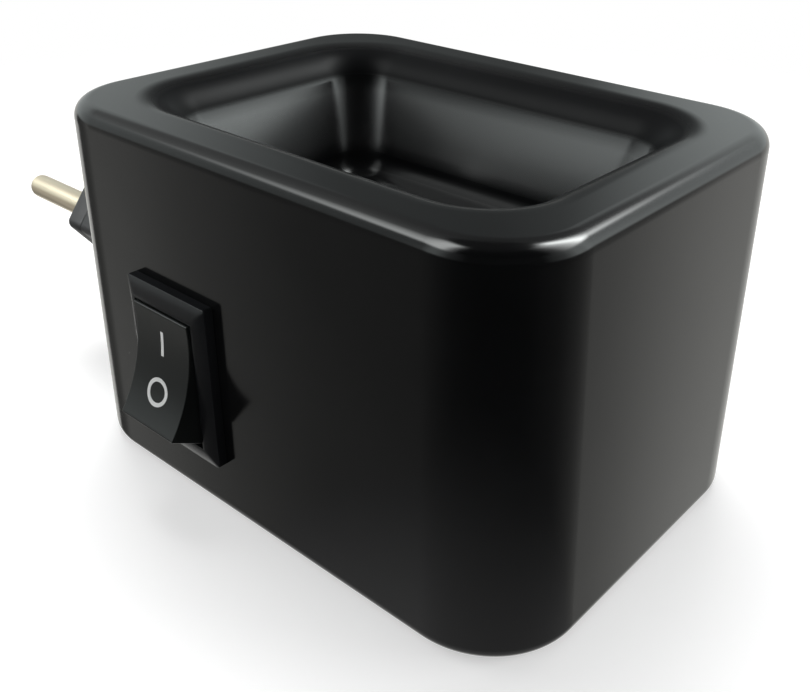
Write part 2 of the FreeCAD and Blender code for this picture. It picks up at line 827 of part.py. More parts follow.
def stop_lug():
    # a small lug under the back of the plug that runs in the flange's curved groove
    radial = neck_radius + stop_lug_radial
    lug = block(plug_back_x - plug_edge_chamfer, flange_out_x + stop_lug_length,
                -stop_lug_width / 2, stop_lug_width / 2,
                plug_axis_z + radial, plug_axis_z + radial + stop_lug_width)
    return lug


def stop_groove():
    radial = neck_radius + stop_lug_radial
    half_span = swivel_angle + swivel_stop_margin_angle + math.degrees(
        (stop_lug_width / 2) / radial)
    inner = radial - stop_lug_gap
    outer = math.hypot(radial + stop_lug_width, stop_lug_width / 2) + stop_lug_gap
    depth = stop_lug_length + stop_lug_gap
    sector = Part.makeCylinder(outer, depth, vec(0, 0, 0), X_AXIS, 2 * half_span)
    sector = sector.cut(rod(inner, vec(0, 0, 0), X_AXIS, depth))
    # the sector starts at a fixed side of its circle, so its middle is found and turned up
    middle = sector_middle(outer, half_span)
    turn = math.degrees(math.atan2(middle.z, middle.y))
    sector = sector.rotated(vec(0, 0, 0), X_AXIS, 90 - turn)
    return sector.translated(vec(flange_out_x, 0, plug_axis_z))


def sector_middle(radius, half_span):
    sliver = Part.makeCylinder(radius, radius, vec(0, 0, 0), X_AXIS, 2 * half_span)
    return sliver.CenterOfMass


def plug_cap():
    front = plug_prism(0, plug_face_x, plug_cap_x)
    front = front.makeFillet(plug_face_round, face_edges_at_x(front, plug_face_x))
    spigot = plug_prism(plug_wall + plug_spigot_gap, plug_cap_x - plug_edge_chamfer,
                        plug_cap_x + plug_cap_spigot)
    cap = front.fuse(spigot)
    for side in (-1, 1):
        y = side * pin_spacing / 2
        cap = cap.cut(rod(pin_shoulder_radius + pin_fit_gap,
                          vec(plug_face_x - overrun, y, plug_axis_z), X_AXIS,
                          plug_cap_thickness + plug_cap_spigot + 2 * overrun))
    return cap.removeSplitter()


def pin(side):
    # the shoulder fills the cap's bore; a relief groove parts it from the contact length
    y = side * pin_spacing / 2
    tip_x = plug_face_x - pin_length
    collar_x = plug_cap_x + plug_cap_spigot
    relief_x = plug_face_x - pin_relief_length
    shank = rod(pin_radius, vec(tip_x, y, plug_axis_z), X_AXIS, relief_x - tip_x)
    end = [e for e in shank.Edges if abs(e.BoundBox.XMax - tip_x) < match_tolerance]
    shank = shank.makeFillet(pin_tip_radius, end)
    relief = rod(pin_relief_radius, vec(relief_x, y, plug_axis_z), X_AXIS, pin_relief_length)
    shoulder = rod(pin_shoulder_radius, vec(plug_face_x, y, plug_axis_z), X_AXIS,
                   collar_x - plug_face_x)
    collar = rod(pin_collar_radius, vec(collar_x, y, plug_axis_z), X_AXIS, pin_collar_thickness)
    tail = rod(pin_tail_radius, vec(collar_x + pin_collar_thickness, y, plug_axis_z), X_AXIS,
               pin_tail_length)
    return shank.fuse(relief).fuse(shoulder).fuse(collar).fuse(tail).removeSplitter()


def strap_x():
    return plug_cap_x + plug_cap_spigot + pin_collar_thickness + strap_gap


def pin_strap(side, reach_radius):
    # a flat strap from the pin's tail to the middle, then a tongue along the neck's bore
    x0 = strap_x()
    tail_y = side * pin_spacing / 2
    half = strap_width / 2
    eye_radius = pin_tail_radius + strap_width / 2
    eye = rod(eye_radius, vec(x0, tail_y, plug_axis_z), X_AXIS, strap_thickness)
    inner_y = side * reach_radius
    arm = block(x0, x0 + strap_thickness, min(inner_y, tail_y), max(inner_y, tail_y),
                plug_axis_z - half, plug_axis_z + half)
    tongue_y = inner_y + side * strap_thickness
    tongue = block(x0, disc_x(), min(inner_y, tongue_y), max(inner_y, tongue_y),
                   plug_axis_z - half, plug_axis_z + half)
    shape = eye.fuse(arm).fuse(tongue)
    hole = rod(pin_tail_radius + pin_fit_gap, vec(x0 - overrun, tail_y, plug_axis_z), X_AXIS,
               strap_thickness + 2 * overrun)
    return shape.cut(hole).removeSplitter()


def disc_x():
    return neck_end_x - slip_disc_thickness


def slip_disc():
    disc = rod(neck_bore_radius, axis_at(disc_x()), X_AXIS, slip_disc_thickness)
    half = slip_disc_thickness / 2
    disc = disc.cut(ring(slip_ring_outer_radius, slip_ring_inner_radius,
                         axis_at(neck_end_x - half), X_AXIS, half))
    return disc.cut(rod(slip_button_radius, axis_at(neck_end_x - half), X_AXIS, half))


def slip_ring():
    half = slip_disc_thickness / 2
    return ring(slip_ring_outer_radius, slip_ring_inner_radius, axis_at(neck_end_x - half),
                X_AXIS, half + slip_proud)


def slip_button():
    half = slip_disc_thickness / 2
    return rod(slip_button_radius, axis_at(neck_end_x - half), X_AXIS, half + slip_proud)


def swivel_bushing():
    flange = rod(bushing_flange_radius, axis_at(flange_out_x), X_AXIS, bushing_flange_thickness)
    rim = [e for e in flange.Edges if abs(e.BoundBox.XMax - flange_out_x) < match_tolerance]
    flange = flange.makeChamfer(bushing_flange_chamfer, rim)
    sleeve = rod(bushing_radius, axis_at(wall_end_x), X_AXIS, bushing_end_x - wall_end_x)
    shape = flange.fuse(sleeve)
    shape = shape.cut(rod(neck_radius + neck_gap, axis_at(flange_out_x - overrun), X_AXIS,
                          bushing_end_x - flange_out_x + 2 * overrun))
    return shape.cut(stop_groove()).removeSplitter()


def bushing_nut():
    shape = ring(nut_radius, bushing_radius + thread_gap, axis_at(wall_inner_x), X_AXIS,
                 nut_thickness)
    for index in range(nut_slot_count):
        slot = block(wall_inner_x, wall_inner_x + nut_thickness, -nut_slot_width / 2,
                     nut_slot_width / 2, nut_radius - nut_slot_depth, nut_radius + overrun)
        slot = slot.translated(vec(0, 0, plug_axis_z))
        turn = 360 / nut_slot_count * (index + 0.5)
        shape = shape.cut(slot.rotated(axis_at(0), X_AXIS, turn))
    return shape.removeSplitter()


def retaining_clip():
    # an open ring that sits in the neck's groove and bears on the end of the bushing
    shape = ring(clip_radius, neck_radius - clip_groove_depth + neck_gap, axis_at(clip_x),
                 X_AXIS, clip_thickness)
    half = math.radians(clip_mouth_angle / 2)
    far = clip_radius + overrun
    mouth = prism_along_x([(0, plug_axis_z),
                           (-far * math.sin(half), plug_axis_z - far * math.cos(half)),
                           (-far * math.sin(half), plug_axis_z - 2 * far),
                           (far * math.sin(half), plug_axis_z - 2 * far),
                           (far * math.sin(half), plug_axis_z - far * math.cos(half))],
                          clip_x, clip_x + clip_thickness)
    return shape.cut(mouth)


cap_grip_x = bushing_end_x - contact_cap_grip
cap_wall_x = neck_end_x + contact_cap_cavity
leaf_tag_z = plug_axis_z - leaf_standoff - leaf_thickness


def contact_cap():
    shape = rod(contact_cap_radius, axis_at(cap_grip_x), X_AXIS,
                cap_wall_x + contact_cap_wall - cap_grip_x)
    shape = shape.cut(rod(bushing_radius + contact_cap_gap, axis_at(cap_grip_x), X_AXIS,
                          cap_wall_x - cap_grip_x))
    for y in (0, leaf_ring_place):
        slot = block(cap_wall_x - overrun, cap_wall_x + contact_cap_wall + overrun,
                     y - leaf_width / 2 - leaf_slot_gap, y + leaf_width / 2 + leaf_slot_gap,
                     leaf_tag_z - leaf_slot_gap, leaf_tag_z + leaf_thickness + leaf_slot_gap)
        shape = shape.cut(slot)
    return shape


def contact_leaf(y):
    # a leaf pad that faces the slip contact, a post along the axis and a tag outside the cap
    pad_x = neck_end_x + slip_proud + slip_gap
    pad = block(pad_x, pad_x + leaf_thickness, y - leaf_width / 2, y + leaf_width / 2,
                leaf_tag_z, plug_axis_z + leaf_width / 2)
    tag = block(pad_x, cap_wall_x + contact_cap_wall + leaf_tag_length, y - leaf_width / 2,
                y + leaf_width / 2, leaf_tag_z, leaf_tag_z + leaf_thickness)
    return pad.fuse(tag).removeSplitter()


# Heater under the dish

def spreader_front_y():
    return heater_y - spreader_front_overhang


def heat_spreader():
    shape = rounded_prism(spreader_length / 2, spreader_width / 2, spreader_corner_radius,
                          spreader_z, roof_z)
    return shape.translated(vec(heater_x, spreader_front_y() + spreader_width / 2, 0))


def heater_block(inset_x, inset_y, z0, z1):
    return block(heater_x - heater_length / 2 + inset_x, heater_x + heater_length / 2 - inset_x,
                 heater_y - heater_width / 2 + inset_y, heater_y + heater_width / 2 - inset_y,
                 z0, z1)


def heater_shell():
    shape = heater_block(0, 0, heater_z, spreader_z)
    runs = edges_at(shape, lambda e: abs(e.BoundBox.XLength - heater_length)
                    < match_tolerance)
    shape = shape.makeFillet(heater_shell_wall, runs)
    return shape.cut(heater_block(0, heater_shell_wall, heater_z + heater_shell_wall,
                                  spreader_z - heater_shell_wall))


film_bottom_z = heater_z + heater_shell_wall
film_top_z = spreader_z - heater_shell_wall
electrode_low_z = film_bottom_z + heater_film
electrode_high_z = film_top_z - heater_film - electrode_thickness


def insulation_film():
    inset_y = heater_shell_wall
    shape = heater_block(-film_overhang, inset_y, film_bottom_z, film_top_z)
    return shape.cut(heater_block(-film_overhang, inset_y + heater_film,
                                  film_bottom_z + heater_film, film_top_z - heater_film))


def electrode(z, side):
    # a thin plate over the chips, with a tab out of one end of the heater
    inset_y = heater_shell_wall + heater_film + electrode_margin
    plate = heater_block(end_seal_depth, inset_y, z, z + electrode_thickness)
    y = heater_y + side * (heater_width / 2 - inset_y - electrode_tab_width / 2)
    end_x = heater_x - heater_length / 2
    tab = block(end_x - electrode_tab_length, end_x + end_seal_depth,
                y - electrode_tab_width / 2, y + electrode_tab_width / 2,
                z, z + electrode_thickness)
    return plate.fuse(tab).removeSplitter()


def tab_end(z, side):
    inset_y = heater_shell_wall + heater_film + electrode_margin
    y = heater_y + side * (heater_width / 2 - inset_y - electrode_tab_width / 2)
    return vec(heater_x - heater_length / 2 - electrode_tab_length, y,
               z + electrode_thickness / 2)


def ptc_chips():
    inset_y = heater_shell_wall + heater_film + electrode_margin
    run = heater_length - 2 * end_seal_depth
    chip = (run - (chip_count + 1) * chip_gap) / chip_count
    chips = []
    for index in range(chip_count):
        x0 = heater_x - run / 2 + chip_gap + index * (chip + chip_gap)
        chips.append(block(x0, x0 + chip, heater_y - heater_width / 2 + inset_y,
                           heater_y + heater_width / 2 - inset_y,
                           electrode_low_z + electrode_thickness, electrode_high_z))
    return Part.makeCompound(chips)


def heater_end_seals():
    inset_y = heater_shell_wall + heater_film
    seals = []
    for side in (-1, 1):
        end = heater_x + side * heater_length / 2
        inner = end - side * end_seal_depth
        seal = block(min(end, inner), max(end, inner), heater_y - heater_width / 2 + inset_y,
                     heater_y + heater_width / 2 - inset_y, film_bottom_z + heater_film,
                     film_top_z - heater_film)
        for z, tab_side in ((electrode_low_z, -1), (electrode_high_z, 1)):
            seal = seal.cut(electrode(z, tab_side))
        seals.append(seal)
    return Part.makeCompound(seals)


def mica_pad():
    return heater_block(-mica_margin, -mica_margin, mica_z, heater_z)


def heater_clamp():
    # a flat strap with two stiffening flanges turned down between the screws
    reach = clamp_screw_spacing / 2 + clamp_end_margin
    strap = block(heater_x - reach, heater_x + reach, heater_y - clamp_width / 2,
                  heater_y + clamp_width / 2, clamp_z, mica_z)
    ends = edges_at(strap, lambda e: abs(e.BoundBox.ZLength - clamp_thickness) < match_tolerance)
    strap = strap.makeFillet(clamp_corner_radius, ends)
    for side in (-1, 1):
        y = heater_y + side * (clamp_width / 2 - clamp_thickness / 2)
        strap = strap.fuse(block(heater_x - reach + clamp_flange_inset,
                                 heater_x + reach - clamp_flange_inset,
                                 y - clamp_thickness / 2, y + clamp_thickness / 2,
                                 clamp_z - clamp_flange_height, mica_z))
    for place in boss_places():
        strap = strap.cut(rod(screw_radius + screw_clearance,
                              place + vec(0, 0, clamp_z - overrun), Z_AXIS,
                              clamp_thickness + 2 * overrun))
    return strap.removeSplitter()


def clamp_screws():
    return Part.makeCompound([pan_screw(place + vec(0, 0, clamp_z), clamp_screw_length)
                              for place in boss_places()])


def clamp_inserts():
    return Part.makeCompound([insert_at(place + vec(0, 0, mica_z))
                              for place in boss_places()])


# Thermal fuse, held in its sleeve against the spreader

def fuse_centre():
    y = spreader_front_y() + fuse_edge_inset
    z = spreader_z - fuse_radius - fuse_sleeve_wall
    return vec(fuse_x, y, z)


def thermal_fuse():
    centre = fuse_centre()
    start = centre - X_AXIS * (fuse_length / 2)
    case = rod(fuse_radius, start, X_AXIS, fuse_length - fuse_nose_length)
    nose = Part.makeCone(fuse_radius, fuse_nose_radius, fuse_nose_length,
                         start + X_AXIS * (fuse_length - fuse_nose_length), X_AXIS)
    leads = rod(fuse_lead_radius, start - X_AXIS * fuse_lead_length, X_AXIS,
                fuse_length + 2 * fuse_lead_length)
    return case.fuse(nose).fuse(leads).removeSplitter()


def fuse_sleeve():
    start = fuse_centre() - X_AXIS * (fuse_sleeve_length / 2)
    return ring(fuse_radius + fuse_sleeve_wall, fuse_radius, start, X_AXIS, fuse_sleeve_length)


# Wiring. Each wire is a round lead on straight runs joined by tangent arcs.

def lead(points, radius):
    edges = []
    start = points[0]
    for before, corner, after in zip(points, points[1:], points[2:]):
        inward = corner.sub(before)
        outward = after.sub(corner)
        run = min(inward.Length, outward.Length)
        inward.normalize()
        outward.normalize()
        turn = inward.getAngle(outward)
        back = route_bend_share * run
        first = corner - inward * back
        last = corner + outward * back
        bisector = (outward - inward).normalize()
        bend = back / math.tan(turn / 2)
        middle = corner + bisector * (bend / math.cos(turn / 2) - bend)
        edges.append(Part.makeLine(start, first))
        edges.append(Part.Arc(first, middle, last).toShape())
        start = last
    edges.append(Part.makeLine(start, points[-1]))
    path = Part.Wire(edges)
    direction = points[1].sub(points[0])
    section = Part.Wire(Part.makeCircle(radius, points[0], direction))
    return path.makePipeShell([section], True, False)


def blade_tip(up):
    return vec(switch_x, wall_front_y + housing_depth + blade_length, switch_z + up)


def receptacle_end(up):
    return blade_tip(up) + Y_AXIS * receptacle_barrel_length


def spade_receptacles():
    # an insulated sleeve over each blade, narrowing to a barrel on the wire
    parts = []
    for up in (0, -blade_spacing):
        tip = blade_tip(up)
        outer_x = blade_width / 2 + receptacle_gap + receptacle_wall
        outer_z = blade_thickness / 2 + receptacle_gap + receptacle_wall
        sleeve = block(tip.x - outer_x, tip.x + outer_x, tip.y - receptacle_length,
                       tip.y + receptacle_gap, tip.z - outer_z, tip.z + outer_z)
        barrel = rod(receptacle_barrel_radius, tip, Y_AXIS, receptacle_barrel_length)
        inner_x = blade_width / 2 + receptacle_gap
        inner_z = blade_thickness / 2 + receptacle_gap
        room = block(tip.x - inner_x, tip.x + inner_x, tip.y - receptacle_length - overrun,
                     tip.y, tip.z - inner_z, tip.z + inner_z)
        parts.append(sleeve.fuse(barrel).cut(room).removeSplitter())
    return Part.makeCompound(parts)


def tag_end(y):
    return vec(cap_wall_x + contact_cap_wall + leaf_tag_length, y,
               leaf_tag_z + leaf_thickness / 2)


def lead_end(side):
    return fuse_centre() + X_AXIS * side * (fuse_length / 2 + fuse_lead_length)


def wire_live_in():
    # from the ring's leaf to the switch's middle blade, dipping under the clamp's screw
    start = tag_end(leaf_ring_place)
    end = receptacle_end(0)
    return lead([start, start + X_AXIS * live_lead_out,
                 vec(end.x, start.y, start.z - live_dip),
                 vec(end.x, end.y + live_approach, end.z), end], wire_radius)


def wire_switched():
    # from the switch's lower blade along the front to the far lead of the fuse
    start = receptacle_end(-blade_spacing)
    end = lead_end(1)
    return lead([start, start + Y_AXIS * switched_lead_out,
                 vec(start.x + route_step, start.y + switched_drift, start.z),
                 vec(fuse_x, end.y + switched_offset, start.z),
                 vec(end.x + switched_under, end.y - switched_offset, start.z + switched_rise),
                 vec(end.x + switched_turn, end.y - switched_offset, start.z + switched_crown),
                 end + X_AXIS * route_step, end], wire_radius)


def wire_fuse_to_heater():
    # from the near lead of the fuse round to the heater's lower tab
    start = lead_end(-1)
    end = tab_end(electrode_low_z, -1)
    return lead([start, start - X_AXIS * route_step,
                 vec(end.x - route_step, start.y + fuse_wire_offset, (start.z + end.z) / 2),
                 end - X_AXIS * route_step, end], wire_radius)


def wire_return():
    # from the heater's upper tab down past the boss and under the live wire to the middle leaf
    start = tab_end(electrode_high_z, 1)
    end = tag_end(0)
    low = end.z - route_step
    return lead([start, start - X_AXIS * route_step,
                 vec(start.x - return_reach, start.y, (start.z + low) / 2 + return_hump),
                 vec(start.x - route_step, start.y - return_side, low),
                 vec(end.x + route_step, (start.y + end.y) * return_middle_share, low),
                 end + X_AXIS * return_approach, end], wire_radius)


def joint_splices():
    # heat-proof sleeves over the joints between the fuse's leads and the wires
    parts = []
    half = splice_length / 2
    for side in (-1, 1):
        end = lead_end(side)
        outward = X_AXIS * side
        splice = rod(splice_radius, end - outward * half, outward, splice_length)
        splice = splice.cut(rod(fuse_lead_radius + splice_gap, end - outward * half, outward,
                                half))
        parts.append(splice.cut(rod(wire_radius + splice_gap, end, outward, half)))
    return Part.makeCompound(parts)


def save(name, shape):
    solids = shape.Solids
    ok = all(solid.isValid() for solid in solids)
    volume = sum(solid.Volume for solid in solids)
    print(f"{name}: {len(solids)} solid(s), valid {ok}, {volume:.2f} mm3")
    shape.exportStep(f"parts/{name}.step")


def main():
    os.makedirs("parts", exist_ok=True)
    save("ceramic_body", ceramic_body())
    save("base_plate", base_plate())
    save("base_screws", base_screws())
    save("base_inserts", base_inserts())
    save("switch_housing", switch_housing())
    save("switch_rocker", switch_rocker())
    save("rocker_marks", rocker_marks())
    save("switch_plunger", switch_plunger())
    save("switch_spring", switch_spring())
    save("switch_contact", switch_contact())
    save("terminal_common", terminal_common())
    save("terminal_load", terminal_load())
    save("plug_body", plug_body())
    save("plug_cap", plug_cap())
    save("pin_front", pin(-1))
    save("pin_back", pin(1))
    save("pin_strap_ring", pin_strap(-1, slip_ring_inner_radius))
    save("pin_strap_button", pin_strap(1, 0))
    save("slip_disc", slip_disc())
    save("slip_ring", slip_ring())
    save("slip_button", slip_button())
    save("swivel_bushing", swivel_bushing())
    save("bushing_nut", bushing_nut())
    save("retaining_clip", retaining_clip())
    save("contact_cap", contact_cap())
    save("contact_leaf_button", contact_leaf(0))
    save("contact_leaf_ring", contact_leaf(leaf_ring_place))
    save("heat_spreader", heat_spreader())
    save("heater_shell", heater_shell())
    save("insulation_film", insulation_film())
    save("ptc_chips", ptc_chips())
    save("electrode_lower", electrode(electrode_low_z, -1))
    save("electrode_upper", electrode(electrode_high_z, 1))
    save("heater_end_seals", heater_end_seals())
    save("mica_pad", mica_pad())
    save("heater_clamp", heater_clamp())
    save("clamp_screws", clamp_screws())
    save("clamp_inserts", clamp_inserts())
    save("thermal_fuse", thermal_fuse())
    save("fuse_sleeve", fuse_sleeve())
    save("joint_splices", joint_splices())
    save("spade_receptacles", spade_receptacles())
    save("wire_live_in", wire_live_in())
    save("wire_switched", wire_switched())
    save("wire_fuse_to_heater", wire_fuse_to_heater())
    save("wire_return", wire_return())


main()
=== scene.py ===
import json
import math

import bmesh
import bpy
import numpy as np
from mathutils import Matrix, Vector


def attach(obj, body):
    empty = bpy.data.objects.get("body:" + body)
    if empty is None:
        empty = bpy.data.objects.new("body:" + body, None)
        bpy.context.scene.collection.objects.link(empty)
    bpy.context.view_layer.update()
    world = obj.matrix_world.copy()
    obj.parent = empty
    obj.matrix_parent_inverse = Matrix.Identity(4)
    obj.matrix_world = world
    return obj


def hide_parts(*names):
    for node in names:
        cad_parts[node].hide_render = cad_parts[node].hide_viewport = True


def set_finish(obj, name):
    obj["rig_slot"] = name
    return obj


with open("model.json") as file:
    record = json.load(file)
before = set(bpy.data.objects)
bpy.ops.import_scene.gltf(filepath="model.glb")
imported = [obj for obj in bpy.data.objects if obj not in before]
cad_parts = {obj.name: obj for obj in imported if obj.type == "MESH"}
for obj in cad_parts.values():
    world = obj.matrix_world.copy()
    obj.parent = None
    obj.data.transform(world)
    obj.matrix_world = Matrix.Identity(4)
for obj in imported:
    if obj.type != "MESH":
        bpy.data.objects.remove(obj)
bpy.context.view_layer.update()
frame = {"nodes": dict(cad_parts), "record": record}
nodes = frame["nodes"]
mm = 0.001
print("frame loaded:", len(nodes), "nodes")

# Camera, solved from the outline of the block. Its place and its clip range are in metres.
cameraSet = {
    "place": (0.077591, -0.089603, 0.084401),
    "turnDeg": (59.90128, -0.77686, 41.54306),
    "lens": 43.0406,
    "sensor": 36.0,
    "clip": (0.005, 20.0),
}


def addCamera(s):
    data = bpy.data.cameras.new("camera")
    data.lens = s["lens"]
    data.sensor_width = s["sensor"]
    data.clip_start, data.clip_end = s["clip"]
    camera = bpy.data.objects.new("camera", data)
    camera.location = s["place"]
    camera.rotation_euler = [math.radians(turn) for turn in s["turnDeg"]]
    bpy.context.scene.collection.objects.link(camera)
    bpy.context.scene.camera = camera


addCamera(cameraSet)
print("camera placed")


# a piece from points in metres and its faces, shaded smooth unless told otherwise
def addPiece(name, points, faces, smooth=True):
    mesh = bpy.data.meshes.new(name)
    mesh.from_pydata(points, [], faces)
    mesh.update()
    if smooth:
        mesh.shade_smooth()
    piece = bpy.data.objects.new(name, mesh)
    bpy.context.scene.collection.objects.link(piece)
    return piece


# Quads of a grid whose columns run round and join up again. Each takes a point, the next one
# round, and the same two in the row above.
def ringFaces(rows, columns):
    row, column = np.meshgrid(np.arange(rows - 1), np.arange(columns), indexing="ij")
    following = (column + 1) % columns
    low = row * columns
    quads = np.stack([low + column, low + following,
                      low + columns + following, low + columns + column], -1)
    return quads.reshape(-1, 4)


# a grid of points closed round its columns, with a fan to the mean point of each end row
def loftPiece(name, grid, smooth=True):
    rows, columns = grid.shape[:2]
    points = grid.reshape(-1, 3)
    ends = np.stack([grid[0].mean(0), grid[-1].mean(0)])
    around = np.arange(columns)
    following = (around + 1) % columns
    firstFan = np.stack([np.full(columns, rows * columns), following, around], -1)
    last = (rows - 1) * columns
    lastFan = np.stack([np.full(columns, rows * columns + 1), last + around, last + following],
                       -1)
    faces = ringFaces(rows, columns).tolist() + firstFan.tolist() + lastFan.tolist()
    return addPiece(name, np.concatenate([points, ends]).tolist(), faces, smooth)


# steps from start to end by (1 - cos) / 2 over half a turn, so that they lie closest at both ends
def eased(start, end, count):
    share = (1 - np.cos(np.linspace(0, math.pi, count))) / 2
    return start + (end - start) * share


# Angles and side blends that walk round a rectangle with round corners. Each point lies between
# one corner's end and the next corner's start: blend is 0 on an arc, and eased along a side.
def walkRound(perArc, perLong, perShort):
    startSign, endSign, startAngle, endAngle, blend = [], [], [], [], []
    signs = np.array([(1, 1), (-1, 1), (-1, -1), (1, -1)], float)
    for quarter in range(4):
        angle = (quarter + np.linspace(0, 1, perArc)) * math.pi / 2
        here, after = signs[quarter], signs[(quarter + 1) % 4]
        side = perLong if quarter % 2 == 0 else perShort
        corner = (quarter + 1) * math.pi / 2
        startSign += [here] * (perArc + side)
        endSign += [here] * perArc + [after] * side
        startAngle += [angle, np.full(side, corner)]
        endAngle += [angle, np.full(side, corner)]
        blend += [np.zeros(perArc), eased(0, 1, side + 2)[1:-1]]
    return (np.array(startSign), np.array(endSign), np.concatenate(startAngle),
            np.concatenate(endAngle), np.concatenate(blend))


# each row is a round-cornered rectangle: corner centre plus radius times (cos, sin),
# and a straight blend from one corner's end to the next one's start
def roundedRows(halfX, halfY, radius, walk):
    startSign, endSign, startAngle, endAngle, blend = walk
    halfX, halfY, radius = halfX[:, None], halfY[:, None], radius[:, None]

    def corner(sign, angle):
        x = sign[:, 0] * (halfX - radius) + radius * np.cos(angle)
        y = sign[:, 1] * (halfY - radius) + radius * np.sin(angle)
        return x, y

    x0, y0 = corner(startSign, startAngle)
    x1, y1 = corner(endSign, endAngle)
    return x0 + (x1 - x0) * blend, y0 + (y1 - y0) * blend


# Glazed block. Its profile runs from the middle of the roof below, down the inside of the wall,
# round the foot, up the outside, over the rim and down into the dish. The steps are the rows
# that each stretch of it is drawn with.
block = {
    "length": 75.0, "width": 58.0, "height": 50.0, "corner": 11.0, "footCorner": 12.4,
    "flare": 2.5, "wall": 4.0, "roof": 30.2, "roofRound": 0.6, "footRound": 1.8,
    "topRound": 2.2, "rimWidth": 9.6, "rimRound": 6.0,
    "dishFloor": 32.6, "draftDeg": 18.0, "dishCorner": 7.4, "floorCorner": 5.5,
    "floorRound": 4.2,
    "perArc": 28, "perLong": 52, "perShort": 40, "drawnIn": 0.99,
    "steps": {"roof": 12, "roofRound": 5, "inside": 15, "foot": 6, "edgeRound": 15,
              "outside": 44, "rim": 14, "dishRound": 22, "dishWall": 20, "floor": 18},
}


# Rows of the block's profile: inset from the outside, height, corner radius, share drawn in to
# the middle, and share of the ends' flare. Rounds are a centre plus a radius times (cos, sin),
# and the stretches between them are straight.
def blockProfile(s):
    steps = s["steps"]
    draft = math.radians(s["draftDeg"])
    cosine, sine = math.cos(draft), math.sin(draft)
    rimSlide = s["rimRound"] * (1 - sine) / cosine
    rimCentre = (s["rimWidth"] + rimSlide * sine - s["rimRound"] * cosine,
                 s["height"] - s["rimRound"])
    floorZ = s["dishFloor"] + s["floorRound"]
    floorSlide = (s["height"] - floorZ + s["floorRound"] * sine) / cosine
    floorCentre = (s["rimWidth"] + floorSlide * sine + s["floorRound"] * cosine, floorZ)
    quarter = np.linspace(0, math.pi / 2, steps["edgeRound"])[1:]
    rimTurn = np.linspace(math.pi / 2, draft, steps["dishRound"])[1:]
    floorTurn = np.linspace(draft, math.pi / 2, steps["dishRound"])[1:]
    wall, roofRound, foot, top = s["wall"], s["roofRound"], s["footRound"], s["topRound"]
    rows = []

    def add(inset, height, corner, drawn=0.0, lean=0.0):
        values = np.broadcast_arrays(*np.atleast_1d(inset, height, corner, drawn, lean))
        rows.append(np.stack(values))

    # the ends flare towards the foot, and the corners open with them
    def outside(inset, height):
        low = 1 - height / s["height"]
        add(inset, height, s["corner"] + (s["footCorner"] - s["corner"]) * low - inset, 0.0, low)

    # roof below the dish, and the inside of the wall
    inner = wall + roofRound
    add(inner, s["roof"], s["corner"] - inner, eased(s["drawnIn"], 0.0, steps["roof"]))
    turn = np.linspace(0, math.pi / 2, steps["roofRound"])[1:]
    add(inner - roofRound * np.sin(turn), s["roof"] - roofRound + roofRound * np.cos(turn),
        s["corner"] - inner + roofRound * np.sin(turn))
    add(wall, eased(s["roof"] - roofRound, 0, steps["inside"])[1:], s["corner"] - wall)

    # foot, outside and top edge
    flat = eased(wall, foot, steps["foot"])[1:]
    share = (wall - flat) / (wall - foot)
    add(flat, 0.0, s["corner"] - flat + (s["footCorner"] - s["corner"]) * share, 0.0, share)
    outside(foot - foot * np.sin(quarter), foot - foot * np.cos(quarter))
    outside(0.0, eased(foot, s["height"] - top, steps["outside"])[1:])
    outside(top - top * np.cos(quarter), s["height"] - top + top * np.sin(quarter))

    # rim, its round into the dish, and the dish's sloping wall
    share = eased(0, 1, steps["rim"])[1:]
    innerCorner = s["dishCorner"] + s["rimWidth"] - rimCentre[0]
    add(top + (rimCentre[0] - top) * share, s["height"],
        s["corner"] - top + (innerCorner - s["corner"] + top) * share)
    inset = rimCentre[0] + s["rimRound"] * np.cos(rimTurn)
    add(inset, rimCentre[1] + s["rimRound"] * np.sin(rimTurn),
        s["dishCorner"] + s["rimWidth"] - inset)
    start = (inset[-1], rimCentre[1] + s["rimRound"] * math.sin(draft))
    end = (floorCentre[0] - s["floorRound"] * cosine, floorCentre[1] - s["floorRound"] * sine)
    share = eased(0, 1, steps["dishWall"])[1:]
    mouthCorner = s["dishCorner"] + s["rimWidth"] - start[0]
    inset = start[0] + (end[0] - start[0]) * share
    add(inset, start[1] + (end[1] - start[1]) * share,
        mouthCorner + (s["floorCorner"] - mouthCorner) * share)

    # dish floor, with its round
    wallFoot = inset[-1]
    inset = floorCentre[0] - s["floorRound"] * np.cos(floorTurn)
    add(inset, floorCentre[1] - s["floorRound"] * np.sin(floorTurn),
        s["floorCorner"] + wallFoot - inset)
    add(inset[-1], s["dishFloor"], s["floorCorner"] + wallFoot - inset[-1],
        eased(0, s["drawnIn"], steps["floor"])[1:])
    return np.concatenate(rows, axis=1)


# the profile carried round a rectangle with round corners: half a side less the inset, all of it
# times what is not drawn in
def buildBlock(s):
    inset, height, corner, drawn, lean = blockProfile(s)
    scale = 1 - drawn
    halfX = (s["length"] / 2 + s["flare"] * lean - inset) * scale
    halfY = (s["width"] / 2 - inset) * scale
    walk = walkRound(s["perArc"], s["perLong"], s["perShort"])
    x, y = roundedRows(halfX, halfY, corner * scale, walk)
    z = np.repeat(height[:, None], x.shape[1], 1)
    return loftPiece("glazed_block", np.stack([x, y, z], -1) * mm)


# a box between two corners, given in millimetres
def boxPiece(name, low, high):
    points = [(x * mm, y * mm, z * mm) for z in (low[2], high[2]) for y in (low[1], high[1])
              for x in (low[0], high[0])]
    faces = [(0, 2, 3, 1), (4, 5, 7, 6), (0, 1, 5, 4), (2, 6, 7, 3), (0, 4, 6, 2), (1, 3, 7, 5)]
    return addPiece(name, points, faces, False)


cutSharpDeg = 38  # edges that turn more than this stay sharp after a cut


